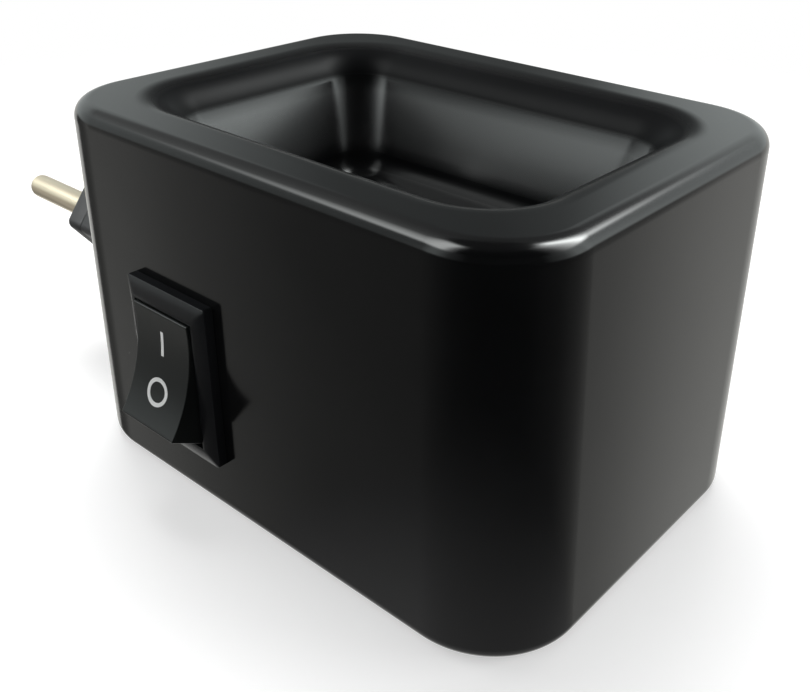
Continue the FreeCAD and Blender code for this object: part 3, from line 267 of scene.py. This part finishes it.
# cuts tools away, or joins them on, and bakes the result
def combine(piece, tools, operation="DIFFERENCE"):
    for tool in tools:
        step = piece.modifiers.new("step", "BOOLEAN")
        step.operation = operation
        step.solver = "EXACT"
        step.object = tool
    graph = bpy.context.evaluated_depsgraph_get()
    mesh = bpy.data.meshes.new_from_object(piece.evaluated_get(graph))
    piece.modifiers.clear()
    piece.data = mesh
    for tool in tools:
        bpy.data.objects.remove(tool)
    mesh.shade_smooth()
    mesh.set_sharp_from_angle(angle=math.radians(cutSharpDeg))


# openings of the switch and the plug's bushing, in the block's walls
opening = {
    "switchX": -12.9, "switchZ": 19.7, "switchHalfX": 6.5, "switchHalfZ": 9.95,
    "bushingZ": 21.7, "bushingRadius": 6.7, "seatRadius": 11.3, "seatX": -38.35,
    "reach": 6.0, "overrun": 1.0, "sides": 128,
}


# a profile of (along, radius) turned about a line along X: radius times (cos, sin) at each place
def turnedRows(profile, sides, axisPoint):
    angle = np.linspace(0, 2 * math.pi, sides, endpoint=False)
    along, radius = np.array(profile, float).T
    x = np.repeat(along[:, None], sides, 1)
    y = axisPoint[0] + radius[:, None] * np.cos(angle)
    z = axisPoint[1] + radius[:, None] * np.sin(angle)
    return np.stack([x, y, z], -1) * mm


# the hole that the switch sits in, through the front wall
def switchCutter(s):
    front = -block["width"] / 2
    return boxPiece(
        "switch_cutter",
        (s["switchX"] - s["switchHalfX"], front - s["overrun"], s["switchZ"] - s["switchHalfZ"]),
        (s["switchX"] + s["switchHalfX"], front + block["wall"] + s["overrun"],
         s["switchZ"] + s["switchHalfZ"]))


# a level round hole through the end wall, from outside the block to the given place
def roundCutter(name, radius, endX):
    startX = opening["seatX"] - opening["reach"]
    rows = turnedRows([(startX, radius), (endX, radius)], opening["sides"],
                      (0.0, opening["bushingZ"]))
    return loftPiece(name, rows[::-1], False)


glazedBlock = buildBlock(block)
combine(glazedBlock, [
    switchCutter(opening),
    roundCutter("seat_cutter", opening["seatRadius"], opening["seatX"]),
    roundCutter("hole_cutter", opening["bushingRadius"], opening["seatX"] + opening["reach"])])
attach(glazedBlock, "housing")
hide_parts("ceramic_body")
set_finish(glazedBlock, "black_glaze")
print("glazed block:", len(glazedBlock.data.polygons), "faces")

# how a node's hard edges get their small round, and how wide it is for each piece
softSet = {
    "mergeGap": 0.001, "flatDeg": 0.4, "edgeDeg": 35, "segments": 3,
    "widths": {"switch_frame": 0.16, "plug_shell": 0.12, "plug_front": 0.12,
               "bushing_ring": 0.1},
}


# a merged copy of a node, with flat faces joined up and its hard edges rounded
def softenedCopy(name, node, body, slotName):
    mesh = nodes[node].data.copy()
    mesh.name = name
    work = bmesh.new()
    work.from_mesh(mesh)
    bmesh.ops.remove_doubles(work, verts=work.verts, dist=softSet["mergeGap"] * mm)
    bmesh.ops.dissolve_limit(work, angle_limit=math.radians(softSet["flatDeg"]),
                             verts=work.verts, edges=work.edges)
    work.to_mesh(mesh)
    work.free()
    mesh.materials.clear()
    mesh.shade_smooth()
    piece = bpy.data.objects.new(name, mesh)
    bpy.context.scene.collection.objects.link(piece)
    bevel = piece.modifiers.new("edge round", "BEVEL")
    bevel.width = softSet["widths"][name] * mm
    bevel.segments = softSet["segments"]
    bevel.limit_method = "ANGLE"
    bevel.angle_limit = math.radians(softSet["edgeDeg"])
    bevel.harden_normals = True
    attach(piece, body)
    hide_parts(node)
    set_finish(piece, slotName)
    return piece


switchFrame = softenedCopy("switch_frame", "switch_housing", "housing", "switch_nylon")
plugShell = softenedCopy("plug_shell", "plug_body", "plug", "plug_plastic")
plugFront = softenedCopy("plug_front", "plug_cap", "plug", "plug_plastic")
bushingRing = softenedCopy("bushing_ring", "swivel_bushing", "housing", "plug_plastic")
print("switch frame, plug shells and bushing softened")

# Rocker. Drawn level about its pivot as (out, up); the face is an arc that hollows in between
# the two tips, and the outline is drawn in at the cheeks to round their edges.
rockerShape = {
    "pivot": (-12.9, -28.0, 19.7), "turnDeg": -15.0, "halfX": 5.3, "valley": 4.15,
    "tip": (5.58, 7.61), "foot": (0.294, 8.82), "inner": (-1.2, 6.82), "faceSteps": 34,
    "tipRound": 0.22, "footRound": 0.3, "roundSteps": 7,
    "edge": 0.13, "edgeSteps": 5, "hold": 0.04, "middleShare": 0.4,
    "skin": 1.5, "hollow": (2.65, 5.32), "hollowIn": 4.0, "trunnion": 1.2, "reach": 6.3,
    "boss": 1.8, "bore": 1.05, "bossEnd": -2.0, "overrun": 1.0, "bite": 0.2, "sides": 40,
}


# An arc tangent to both sides of a corner. From its middle it adds up the first and the last
# radius, by the sine of the turn left and of the turn made, over the sine of the whole turn.
def roundCorner(before, corner, after, radius):
    before, corner, after = np.array(before), np.array(corner), np.array(after)
    back = (before - corner) / np.linalg.norm(before - corner)
    ahead = (after - corner) / np.linalg.norm(after - corner)
    half = math.acos(float(back @ ahead)) / 2
    inward = (back + ahead) / np.linalg.norm(back + ahead)
    middle = corner + inward * radius / math.sin(half)
    first = corner + back * radius / math.tan(half) - middle
    last = corner + ahead * radius / math.tan(half) - middle
    turn = math.pi - 2 * half
    share = np.linspace(0, 1, rockerShape["roundSteps"])[:, None]
    arc = np.sin((1 - share) * turn) * first + np.sin(share * turn) * last
    return middle + arc / math.sin(turn)


# the rocker seen from its end: a circle's arc through both tips and the valley, and straight
# sides behind it with rounded corners
def rockerOutline(s):
    tipOut, tipUp = s["tip"]
    dip = tipOut - s["valley"]
    radius = (tipUp ** 2 + dip ** 2) / (2 * dip)
    up = np.linspace(tipUp, -tipUp, s["faceSteps"])[1:-1]
    face = np.stack([s["valley"] + radius - np.sqrt(radius ** 2 - up ** 2), up], -1)
    low = {name: (s[name][0], -s[name][1]) for name in ("tip", "foot", "inner")}
    return np.concatenate([
        roundCorner(s["foot"], s["tip"], face[0], s["tipRound"]), face,
        roundCorner(face[-1], low["tip"], low["foot"], s["tipRound"]),
        roundCorner(low["tip"], low["foot"], low["inner"], s["footRound"]),
        roundCorner(low["foot"], low["inner"], s["inner"], s["footRound"]),
        roundCorner(low["inner"], s["inner"], s["foot"], s["footRound"]),
        roundCorner(s["inner"], s["foot"], s["tip"], s["footRound"])])


# turns a closed mesh's faces to look outwards
def faceOutward(mesh):
    work = bmesh.new()
    work.from_mesh(mesh)
    bmesh.ops.recalc_face_normals(work, faces=work.faces)
    work.to_mesh(mesh)
    work.free()


# a round bar along X, or one that runs outwards along Y between two distances
def roundBar(name, radius, start, end, outward=False):
    rows = turnedRows([(start, radius), (end, radius)], rockerShape["sides"], (0.0, 0.0))
    if outward:
        rows = rows[..., [1, 0, 2]] * (1, -1, 1)
    bar = loftPiece(name, rows, False)
    faceOutward(bar.data)
    return bar


# The outline carried from cheek to cheek. Near each cheek it is moved in along its own normals by
# a quarter round, which gives the cheek's edge.
def rockerSkin(s):
    outline = rockerOutline(s)
    along = np.roll(outline, -1, 0) - np.roll(outline, 1, 0)
    along /= np.linalg.norm(along, axis=1)[:, None]
    outward = np.stack([-along[:, 1], along[:, 0]], -1)
    turn = np.linspace(0, math.pi / 2, s["edgeSteps"])
    half, edge = s["halfX"], s["edge"]
    side = [(edge + s["hold"], half)]
    side += list(zip(edge - edge * np.sin(turn), half - edge + edge * np.cos(turn)))
    side += [(0.0, half - edge - s["hold"]), (0.0, half * s["middleShare"])]
    across = side + [(inset, -x) for inset, x in side[::-1]]
    inset, x = np.array(across).T
    rows = outline[None] - inset[:, None, None] * outward[None]
    grid = np.stack([np.broadcast_to(x[:, None], rows.shape[:2]), -rows[..., 0], rows[..., 1]],
                    -1)
    count = len(outline)
    faces = ringFaces(len(grid), count).tolist()
    faces += [list(range(count)), list(range((len(grid) - 1) * count, len(grid) * count))]
    rocker = addPiece("rocker_key", (grid.reshape(-1, 3) * mm).tolist(), faces)
    faceOutward(rocker.data)
    return rocker


# the skin hollowed from behind, with its trunnions and the bored boss of its plunger
def buildRocker(s):
    rocker = rockerSkin(s)
    hollowOut, hollowUp = s["hollow"]
    inside = s["halfX"] - s["skin"]
    room = boxPiece("room", (-inside, -hollowOut, -hollowUp), (inside, s["hollowIn"], hollowUp))
    faceOutward(room.data)
    combine(rocker, [room])
    bite = s["bite"]
    combine(rocker, [roundBar("boss", s["boss"], s["bossEnd"], hollowOut + bite, True),
                     roundBar("near_trunnion", s["trunnion"], inside + bite, s["reach"]),
                     roundBar("far_trunnion", s["trunnion"], -s["reach"], -inside - bite)],
            "UNION")
    combine(rocker, [roundBar("bore", s["bore"], s["bossEnd"] - s["overrun"], hollowOut, True)])
    place = Matrix.Translation(Vector(s["pivot"]) * mm)
    rocker.data.transform(place @ Matrix.Rotation(math.radians(s["turnDeg"]), 4, "X"))
    return rocker


rockerKey = buildRocker(rockerShape)
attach(rockerKey, "rocker")
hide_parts("switch_rocker")
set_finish(rockerKey, "rocker_nylon")
print("rocker:", len(rockerKey.data.polygons), "faces")

# Pins: straight shank with a round nose, a collar and a thin tail, turned about their own line
pinShape = {
    "face": -60.95, "length": 19.0, "radius": 2.0, "nose": 1.6, "spread": 9.5, "height": 21.7,
    "reliefRadius": 1.6, "reliefLength": 0.5, "shoulderRadius": 2.3,
    "collarX": -54.95, "collarRadius": 2.9, "collarLength": 1.4, "tailRadius": 1.4,
    "tailLength": 3.2, "soft": 0.12, "sides": 72, "noseSteps": 14, "sharpDeg": 40,
}


# (along, radius) from the tip inwards: a quarter round for the nose, then straight steps whose
# outer edges are cut back a little
def pinProfile(s):
    tip = s["face"] - s["length"]
    turn = np.linspace(0, math.pi / 2, s["noseSteps"])
    core = s["radius"] - s["nose"]
    nose = np.stack([tip + s["nose"] * (1 - np.cos(turn)), core + s["nose"] * np.sin(turn)], -1)
    soft = s["soft"]
    reliefX = s["face"] - s["reliefLength"]
    collarEnd = s["collarX"] + s["collarLength"]
    tailEnd = collarEnd + s["tailLength"]
    rest = [(reliefX - soft, s["radius"]), (reliefX, s["radius"] - soft),
            (reliefX, s["reliefRadius"]), (s["face"], s["reliefRadius"]),
            (s["face"], s["shoulderRadius"]), (s["collarX"], s["shoulderRadius"]),
            (s["collarX"], s["collarRadius"] - soft),
            (s["collarX"] + soft, s["collarRadius"]), (collarEnd - soft, s["collarRadius"]),
            (collarEnd, s["collarRadius"] - soft), (collarEnd, s["tailRadius"]),
            (tailEnd - soft, s["tailRadius"]), (tailEnd, s["tailRadius"] - soft)]
    return np.concatenate([nose, np.array(rest)])


# one pin of the plug; side is -1 for the near one and 1 for the far one
def buildPin(name, side, node):
    rows = turnedRows(pinProfile(pinShape), pinShape["sides"],
                      (side * pinShape["spread"], pinShape["height"]))
    piece = loftPiece(name, rows[::-1])
    piece.data.set_sharp_from_angle(angle=math.radians(pinShape["sharpDeg"]))
    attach(piece, "plug")
    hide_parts(node)
    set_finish(piece, "nickel_plate")
    return piece


nearPin = buildPin("near_pin", -1, "pin_front")
farPin = buildPin("far_pin", 1, "pin_back")
print("pins turned")


# gives an input a value, or another node's socket
def feed(tree, target, value):
    if isinstance(value, bpy.types.NodeSocket):
        tree.links.new(value, target)
    else:
        target.default_value = value


# a node with its settings, and what its inputs get, by their names or places
def addNode(tree, kind, inputs=(), **settings):
    node = tree.nodes.new(kind)
    for key, value in settings.items():
        setattr(node, key, value)
    for place, value in dict(inputs).items():
        feed(tree, node.inputs[place], value)
    return node


def mathStep(tree, operation, *inputs):
    node = addNode(tree, "ShaderNodeMath", enumerate(inputs), operation=operation)
    return node.outputs["Value"]


# places of the Mix node's colour sockets: the factor, both colours and, as an output, the result
mixSockets = {"share": 0, "first": 6, "second": 7, "result": 2}


def mixColours(tree, share, first, second, how="MIX"):
    inputs = {mixSockets["share"]: share, mixSockets["first"]: first,
              mixSockets["second"]: second}
    node = addNode(tree, "ShaderNodeMix", inputs, data_type="RGBA", blend_type=how,
                   clamp_factor=False)
    return node.outputs[mixSockets["result"]]


# share of a finish's zone: along each axis 1 up to the first distance from its middle, falling
# to 0 at the second, and all of these multiplied
def zoneShare(tree, place, zone):
    split = addNode(tree, "ShaderNodeSeparateXYZ", {"Vector": place})
    share = 1.0
    for axis, (middle, near, far) in zone["within"].items():
        shift = mathStep(tree, "SUBTRACT", split.outputs[axis], middle * mm)
        fade = addNode(tree, "ShaderNodeMapRange", {
            "Value": mathStep(tree, "ABSOLUTE", shift), "From Min": near * mm,
            "From Max": far * mm, "To Min": 1.0, "To Max": 0.0})
        share = mathStep(tree, "MULTIPLY", share, fade.outputs["Result"])
    return share


# rare pale specks: a small round spot in a few of the cells
def addSpecks(tree, place, colour, s):
    spot = addNode(tree, "ShaderNodeTexVoronoi", {"Vector": place, "Scale": s["scale"]})
    small = mathStep(tree, "LESS_THAN", spot.outputs["Distance"], s["size"])
    chance = addNode(tree, "ShaderNodeSeparateColor", {"Color": spot.outputs["Color"]})
    rare = mathStep(tree, "LESS_THAN", chance.outputs["Red"], s["share"])
    both = mathStep(tree, "MULTIPLY", small, rare)
    return mixColours(tree, both, colour, (*s["colour"], 1))


# what all finishes share, unless one has its own
finishBase = {
    "driftScale": 60, "driftDetail": 3, "driftEnds": (0.3, 0.7), "stretch": (1, 1, 1),
    "sheenScaleShare": 0.4, "sheenDetail": 4, "evenRoughness": 0.5,
    "grainDetail": 5, "grainRoughness": 0.6, "metallic": 0.0, "ior": 1.5, "zones": [],
}


# Materials. Each has a base colour that wanders with slow noise, and fine noise for its
# roughness and bump, on Object coordinates. A zone adds to the roughness and the IOR inside it;
# a raised IOR there is a painted reflection, a lowered one painted shade.
def makeFinish(name, own):
    s = {**finishBase, **own}
    material = bpy.data.materials.new(name)
    material.use_nodes = True
    tree = material.node_tree
    place = addNode(tree, "ShaderNodeTexCoord").outputs["Object"]

    def noise(scale, detail, roughness):
        stretched = addNode(tree, "ShaderNodeMapping", {"Vector": place, "Scale": s["stretch"]})
        return addNode(tree, "ShaderNodeTexNoise", {
            "Vector": stretched.outputs["Vector"], "Scale": scale, "Detail": detail,
            "Roughness": roughness}).outputs["Fac"]

    drift = noise(s["driftScale"], s["driftDetail"], s["evenRoughness"])
    ramp = addNode(tree, "ShaderNodeValToRGB", {"Fac": drift})
    for element, position, colour in zip(ramp.color_ramp.elements, s["driftEnds"], s["colours"]):
        element.position = position
        element.color = (*colour, 1)
    colour = ramp.outputs["Color"]
    if "specks" in s:
        colour = addSpecks(tree, place, colour, s["specks"])
    worn = noise(s["grainScale"] * s["sheenScaleShare"], s["sheenDetail"], s["evenRoughness"])
    gloss = addNode(tree, "ShaderNodeMapRange", {
        "Value": worn, "To Min": s["roughness"][0], "To Max": s["roughness"][1]})
    sheen, bend = gloss.outputs["Result"], s["ior"]
    # zones: extra roughness, and an IOR whose rise is a painted reflection and whose fall is
    # painted shade
    for zone in s["zones"]:
        share = zoneShare(tree, place, zone)
        sheen = mathStep(tree, "MULTIPLY_ADD", share, zone["roughness"], sheen)
        bend = mathStep(tree, "MULTIPLY_ADD", share, zone["ior"], bend)
    bump = addNode(tree, "ShaderNodeBump", {
        "Strength": s["bump"][0], "Distance": s["bump"][1] * mm,
        "Height": noise(s["grainScale"], s["grainDetail"], s["grainRoughness"])})
    shader = tree.nodes["Principled BSDF"]
    for key, value in (("Base Color", colour), ("Roughness", sheen), ("IOR", bend),
                       ("Normal", bump.outputs["Normal"]), ("Metallic", s["metallic"])):
        feed(tree, shader.inputs[key], value)
    return material


# Each finish has its two colours, its range of roughness and its bump as (strength, depth in
# mm). A zone lies within (middle, near, far) in mm along each axis. The glaze's zones are the
# dish's walls, the rim's inner round and the round at the dish's floor. The walls' raised IOR is
# a painted reflection that brightens them, and the rounds' lowered IOR is painted shade that
# darkens them. The switch nylon's zone is the bezel's sides and all that lies behind them; its
# lowered IOR is painted shade that keeps them dark.
finishes = {
    "black_glaze": {
        "colours": ((0.0035, 0.0037, 0.004), (0.006, 0.0062, 0.0065)), "driftScale": 40,
        "roughness": (0.10, 0.17), "grainScale": 260, "bump": (0.05, 0.05),
        "zones": [
            # dish's walls: rougher, and a raised IOR, a painted reflection that brightens them
            {"within": {"X": (0, 27.5, 28.5), "Y": (0, 19, 20), "Z": (41, 3.4, 5.4)},
             "roughness": 0.12, "ior": 0.5},
            # rim's inner round: rougher, and a lowered IOR, painted shade that darkens it
            {"within": {"X": (0, 30.4, 31.8), "Y": (0, 21.9, 23.3), "Z": (48, 1.3, 2.0)},
             "roughness": 0.25, "ior": -0.36},
            # round at the dish's floor: rougher, and a lowered IOR, painted shade that darkens it
            {"within": {"X": (0, 28, 29), "Y": (0, 20, 21), "Z": (34.9, 1.0, 2.1)},
             "roughness": 0.1, "ior": -0.35}],
        "specks": {"scale": 240, "size": 0.035, "share": 0.04, "colour": (0.35, 0.35, 0.34)}},
    "base_plastic": {
        "colours": ((0.018, 0.018, 0.019), (0.028, 0.028, 0.03)), "roughness": (0.45, 0.6),
        "grainScale": 3200, "bump": (0.35, 0.03)},
    "zinc_steel": {
        "colours": ((0.55, 0.56, 0.58), (0.68, 0.69, 0.7)), "roughness": (0.25, 0.4),
        "grainScale": 1500, "bump": (0.15, 0.02), "metallic": 1.0},
    "brass": {
        "colours": ((0.62, 0.45, 0.19), (0.76, 0.58, 0.28)), "roughness": (0.22, 0.38),
        "grainScale": 1500, "bump": (0.12, 0.02), "metallic": 1.0},
    "switch_nylon": {
        "colours": ((0.0075, 0.008, 0.009), (0.012, 0.0125, 0.014)), "roughness": (0.2, 0.3),
        "grainScale": 2600, "bump": (0.25, 0.02), "ior": 1.42,
        # bezel's sides and all behind them: rougher, and a lowered IOR, painted shade that keeps
        # them dark
        "zones": [{"within": {"Y": (0, 30.2, 30.28)}, "roughness": 0.35, "ior": -0.3}]},
    "rocker_nylon": {
        "colours": ((0.005, 0.0062, 0.006), (0.009, 0.0105, 0.0102)), "roughness": (0.28, 0.38),
        "grainScale": 2600, "bump": (0.28, 0.02)},
    "white_print": {
        "colours": ((0.76, 0.78, 0.77), (0.86, 0.87, 0.86)), "roughness": (0.35, 0.5),
        "grainScale": 3000, "bump": (0.1, 0.01)},
    "steel": {
        "colours": ((0.5, 0.5, 0.51), (0.63, 0.63, 0.64)), "roughness": (0.28, 0.42),
        "grainScale": 1600, "bump": (0.12, 0.02), "metallic": 1.0},
    "copper_alloy": {
        "colours": ((0.66, 0.42, 0.26), (0.8, 0.55, 0.36)), "roughness": (0.22, 0.36),
        "grainScale": 1600, "bump": (0.1, 0.02), "metallic": 1.0},
    "plug_plastic": {
        "colours": ((0.028, 0.028, 0.0295), (0.038, 0.038, 0.04)), "roughness": (0.42, 0.56),
        "grainScale": 2400, "bump": (0.35, 0.03)},
    "nickel_plate": {
        "colours": ((0.94, 0.82, 0.62), (1.0, 0.88, 0.69)), "roughness": (0.24, 0.36),
        "grainScale": 1400, "bump": (0.08, 0.02), "metallic": 1.0, "stretch": (0.25, 1, 1)},
    "phenolic": {
        "colours": ((0.16, 0.07, 0.03), (0.26, 0.12, 0.055)), "roughness": (0.4, 0.55),
        "grainScale": 1800, "bump": (0.2, 0.02)},
    "natural_nylon": {
        "colours": ((0.7, 0.68, 0.6), (0.8, 0.78, 0.7)), "roughness": (0.4, 0.55),
        "grainScale": 1800, "bump": (0.2, 0.02)},
    "aluminium": {
        "colours": ((0.66, 0.67, 0.68), (0.78, 0.79, 0.8)), "roughness": (0.28, 0.44),
        "grainScale": 1500, "bump": (0.15, 0.02), "metallic": 1.0},
    "amber_film": {
        "colours": ((0.55, 0.25, 0.04), (0.7, 0.36, 0.07)), "roughness": (0.18, 0.3),
        "grainScale": 900, "bump": (0.1, 0.02)},
    "heater_ceramic": {
        "colours": ((0.14, 0.13, 0.13), (0.22, 0.21, 0.2)), "roughness": (0.6, 0.75),
        "grainScale": 2200, "bump": (0.3, 0.03)},
    "silicone_seal": {
        "colours": ((0.42, 0.13, 0.09), (0.55, 0.2, 0.14)), "roughness": (0.45, 0.6),
        "grainScale": 1500, "bump": (0.2, 0.02)},
    "mica": {
        "colours": ((0.5, 0.43, 0.3), (0.66, 0.58, 0.43)), "roughness": (0.3, 0.5),
        "grainScale": 700, "bump": (0.3, 0.03)},
    "glass_sleeve": {
        "colours": ((0.72, 0.7, 0.62), (0.84, 0.82, 0.74)), "roughness": (0.6, 0.75),
        "grainScale": 2600, "bump": (0.6, 0.05)},
    "clear_nylon": {
        "colours": ((0.62, 0.61, 0.55), (0.74, 0.73, 0.67)), "roughness": (0.2, 0.32),
        "grainScale": 1400, "bump": (0.1, 0.02)},
    "brown_lead": {
        "colours": ((0.14, 0.06, 0.025), (0.21, 0.095, 0.045)), "roughness": (0.38, 0.5),
        "grainScale": 1500, "bump": (0.15, 0.02)},
    "red_lead": {
        "colours": ((0.38, 0.025, 0.02), (0.5, 0.04, 0.03)), "roughness": (0.38, 0.5),
        "grainScale": 1500, "bump": (0.15, 0.02)},
    "blue_lead": {
        "colours": ((0.025, 0.09, 0.32), (0.04, 0.13, 0.42)), "roughness": (0.38, 0.5),
        "grainScale": 1500, "bump": (0.15, 0.02)},
}
materials = {name: makeFinish(name, s) for name, s in finishes.items()}
slotOfNode = {row["node"]: row["material_slot"] for row in frame["record"]["subparts"]}
for name, node in nodes.items():
    node.data.materials.clear()
    node.data.materials.append(materials[slotOfNode[name]])
for piece in (glazedBlock, switchFrame, plugShell, plugFront, rockerKey, bushingRing, nearPin,
              farPin):
    piece.data.materials.clear()
    piece.data.materials.append(materials[piece["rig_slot"]])
print("finishes:", len(materials))

# Floor, room and lamps, in metres. Reflections see only the room: three ramps round it give the
# brightness by bearing, one below the horizon, one above it and one above the roofline. It is
# dark behind the camera and at the zenith, and grey again straight below.
studio = {
    "floorHalf": 3.0, "floorDrop": 0.0001, "floorFade": (0.12, 0.26), "floorGrey": 0.62,
    "floorGlow": 0.5, "roomGrey": 0.32,
    "horizon": (-0.05, 0.08), "roofline": (0.44, 0.58), "zenith": (0.87, 0.94),
    "zenithGrey": 0.04, "underfoot": (-0.52, -0.8), "underfootGrey": 0.42,
    "tints": {"low": (1.0, 1.0, 0.96), "middle": (0.93, 1.0, 0.99), "high": (0.97, 1.0, 0.99)},
    "high": ((-180, 0.5), (-160, 0.8), (-150, 3.0), (-138, 6.0), (-124, 8.0), (-112, 8.0),
             (-104, 2.0), (-95, 0.0), (5, 0.0), (20, 0.8), (32, 4.0), (46, 9.0), (54, 17.0),
             (60, 22.0), (68, 13.0), (76, 4.0), (85, 0.6), (95, 0.3), (125, 0.12),
             (150, 0.25), (180, 0.5)),
    "middle": ((-180, 1.0), (-150, 0.8), (-128, 0.4), (-119, 1.45), (-111, 1.3), (-98, 0.3),
               (-80, 0.02), (-5, 0.02), (18, 0.6), (33, 1.9), (42, 1.75), (47, 2.2),
               (60, 1.2), (98, 1.0), (112, 0.85), (116, 0.6), (121, 0.2), (125, 0.13),
               (136, 0.14), (141, 0.3), (148, 0.6), (160, 0.8), (180, 1.0)),
    "low": ((-180, 0.08), (-166, 0.14), (-158, 0.26), (-152, 0.5), (-149, 0.57), (-146, 0.3),
            (-138, 0.14), (-130, 0.12), (-112, 0.07), (-92, 0.02), (-65, 0.0), (-20, 0.0),
            (15, 0.05), (40, 0.16), (54, 0.26), (59.4, 0.33), (61.8, 0.52), (66, 0.76),
            (75, 0.82), (180, 0.85)),
    "aim": (0, 0, 0.03),
    "lamps": [
        {"name": "overhead", "place": (-0.25, 0.25, 0.75), "size": 0.55, "power": 7.0},
        {"name": "left", "place": (-0.8, -0.25, 0.35), "size": 0.5, "power": 3.0},
        {"name": "right", "place": (0.6, 0.5, 0.35), "size": 0.4, "power": 2.0},
    ],
}


# share of the way from the first value to the second, eased at both ends
def easedShare(tree, source, low, high):
    node = addNode(tree, "ShaderNodeMapRange",
                   {"Value": source, "From Min": low, "From Max": high},
                   interpolation_type="SMOOTHSTEP")
    return node.outputs["Result"]


def grey(value):
    return (value, value, value, 1)


# a ramp round the room whose stops are (bearing in degrees, brightness)
def bearingRamp(tree, source, part):
    stops, tint = studio[part], studio["tints"][part]
    top = max(bright for bearing, bright in stops)
    node = addNode(tree, "ShaderNodeValToRGB", {"Fac": source})
    elements = node.color_ramp.elements
    for index, (bearing, bright) in enumerate(stops):
        place = (bearing + 180) / 360
        if index in (0, len(stops) - 1):
            element = elements[0 if index == 0 else -1]
        else:
            element = elements.new(place)
        element.position = place
        element.color = (*[bright / top * share for share in tint], 1)
    return mixColours(tree, 1.0, node.outputs["Color"], grey(top), "MULTIPLY")


# The floor takes the object's shadow. It turns to plain white away from the warmer, and lets
# the view from below through.
def floorFinish(s):
    material = bpy.data.materials.new("floor")
    material.use_nodes = True
    tree = material.node_tree
    tree.nodes.clear()
    cameraRay = addNode(tree, "ShaderNodeLightPath").outputs["Is Camera Ray"]
    diffuse = addNode(tree, "ShaderNodeBsdfDiffuse", {"Color": grey(s["floorGrey"])})
    glow = addNode(tree, "ShaderNodeEmission",
                   {"Strength": mathStep(tree, "MULTIPLY", cameraRay, s["floorGlow"])})
    near = addNode(tree, "ShaderNodeAddShader", {0: diffuse.outputs["BSDF"],
                                                 1: glow.outputs["Emission"]})
    place = addNode(tree, "ShaderNodeTexCoord").outputs["Object"]
    reach = addNode(tree, "ShaderNodeVectorMath", {0: place}, operation="LENGTH")
    fade = easedShare(tree, reach.outputs["Value"], *s["floorFade"])
    white = addNode(tree, "ShaderNodeEmission")
    top = addNode(tree, "ShaderNodeMixShader", {
        "Fac": mathStep(tree, "MULTIPLY", fade, cameraRay), 1: near.outputs["Shader"],
        2: white.outputs["Emission"]})
    side = addNode(tree, "ShaderNodeNewGeometry")
    clear = addNode(tree, "ShaderNodeBsdfTransparent")
    seen = addNode(tree, "ShaderNodeMixShader", {
        "Fac": side.outputs["Backfacing"], 1: top.outputs["Shader"], 2: clear.outputs["BSDF"]})
    addNode(tree, "ShaderNodeOutputMaterial", {"Surface": seen.outputs["Shader"]})
    return material


# the camera sees white, mirrors see the ramps, and all else sees one grey
def roomLight(s):
    room = bpy.data.worlds.new("room")
    room.use_nodes = True
    tree = room.node_tree
    ray = addNode(tree, "ShaderNodeLightPath")
    place = addNode(tree, "ShaderNodeTexCoord").outputs["Generated"]
    split = addNode(tree, "ShaderNodeSeparateXYZ", {"Vector": place})
    height = split.outputs["Z"]
    bearing = mathStep(tree, "ARCTAN2", split.outputs["Y"], split.outputs["X"])
    around = addNode(tree, "ShaderNodeMapRange", {
        "Value": bearing, "From Min": -math.pi, "From Max": math.pi}).outputs["Result"]
    under = mixColours(tree, easedShare(tree, height, *s["underfoot"]), grey(0),
                       grey(s["underfootGrey"]))
    mirrored = mixColours(tree, 1.0, bearingRamp(tree, around, "low"), under, "LIGHTEN")
    for limit, above in (("horizon", bearingRamp(tree, around, "middle")),
                         ("roofline", bearingRamp(tree, around, "high")),
                         ("zenith", grey(s["zenithGrey"]))):
        mirrored = mixColours(tree, easedShare(tree, height, *s[limit]), mirrored, above)
    level = mixColours(tree, ray.outputs["Is Glossy Ray"], grey(s["roomGrey"]), mirrored)
    level = mixColours(tree, ray.outputs["Is Camera Ray"], level, grey(1))
    feed(tree, tree.nodes["Background"].inputs["Color"], level)
    return room


def addLamp(s):
    lampData = bpy.data.lights.new(s["name"], "AREA")
    lampData.shape = "SQUARE"
    lampData.size = s["size"]
    lampData.energy = s["power"]
    lamp = bpy.data.objects.new(s["name"], lampData)
    lamp.location = s["place"]
    aim = Vector(studio["aim"]) - Vector(s["place"])
    lamp.rotation_euler = aim.to_track_quat("-Z", "Y").to_euler()
    lamp.visible_glossy = False
    bpy.context.scene.collection.objects.link(lamp)


half, drop = studio["floorHalf"], studio["floorDrop"]
floor = addPiece("floor", [(-half, -half, -drop), (half, -half, -drop), (half, half, -drop),
                           (-half, half, -drop)], [(0, 1, 2, 3)], False)
floor.visible_glossy = False
floor.data.materials.append(floorFinish(studio))
bpy.context.scene.world = roomLight(studio)
for lampSet in studio["lamps"]:
    addLamp(lampSet)
bpy.context.scene.view_settings.view_transform = "Standard"
print("floor, room and lamps set")
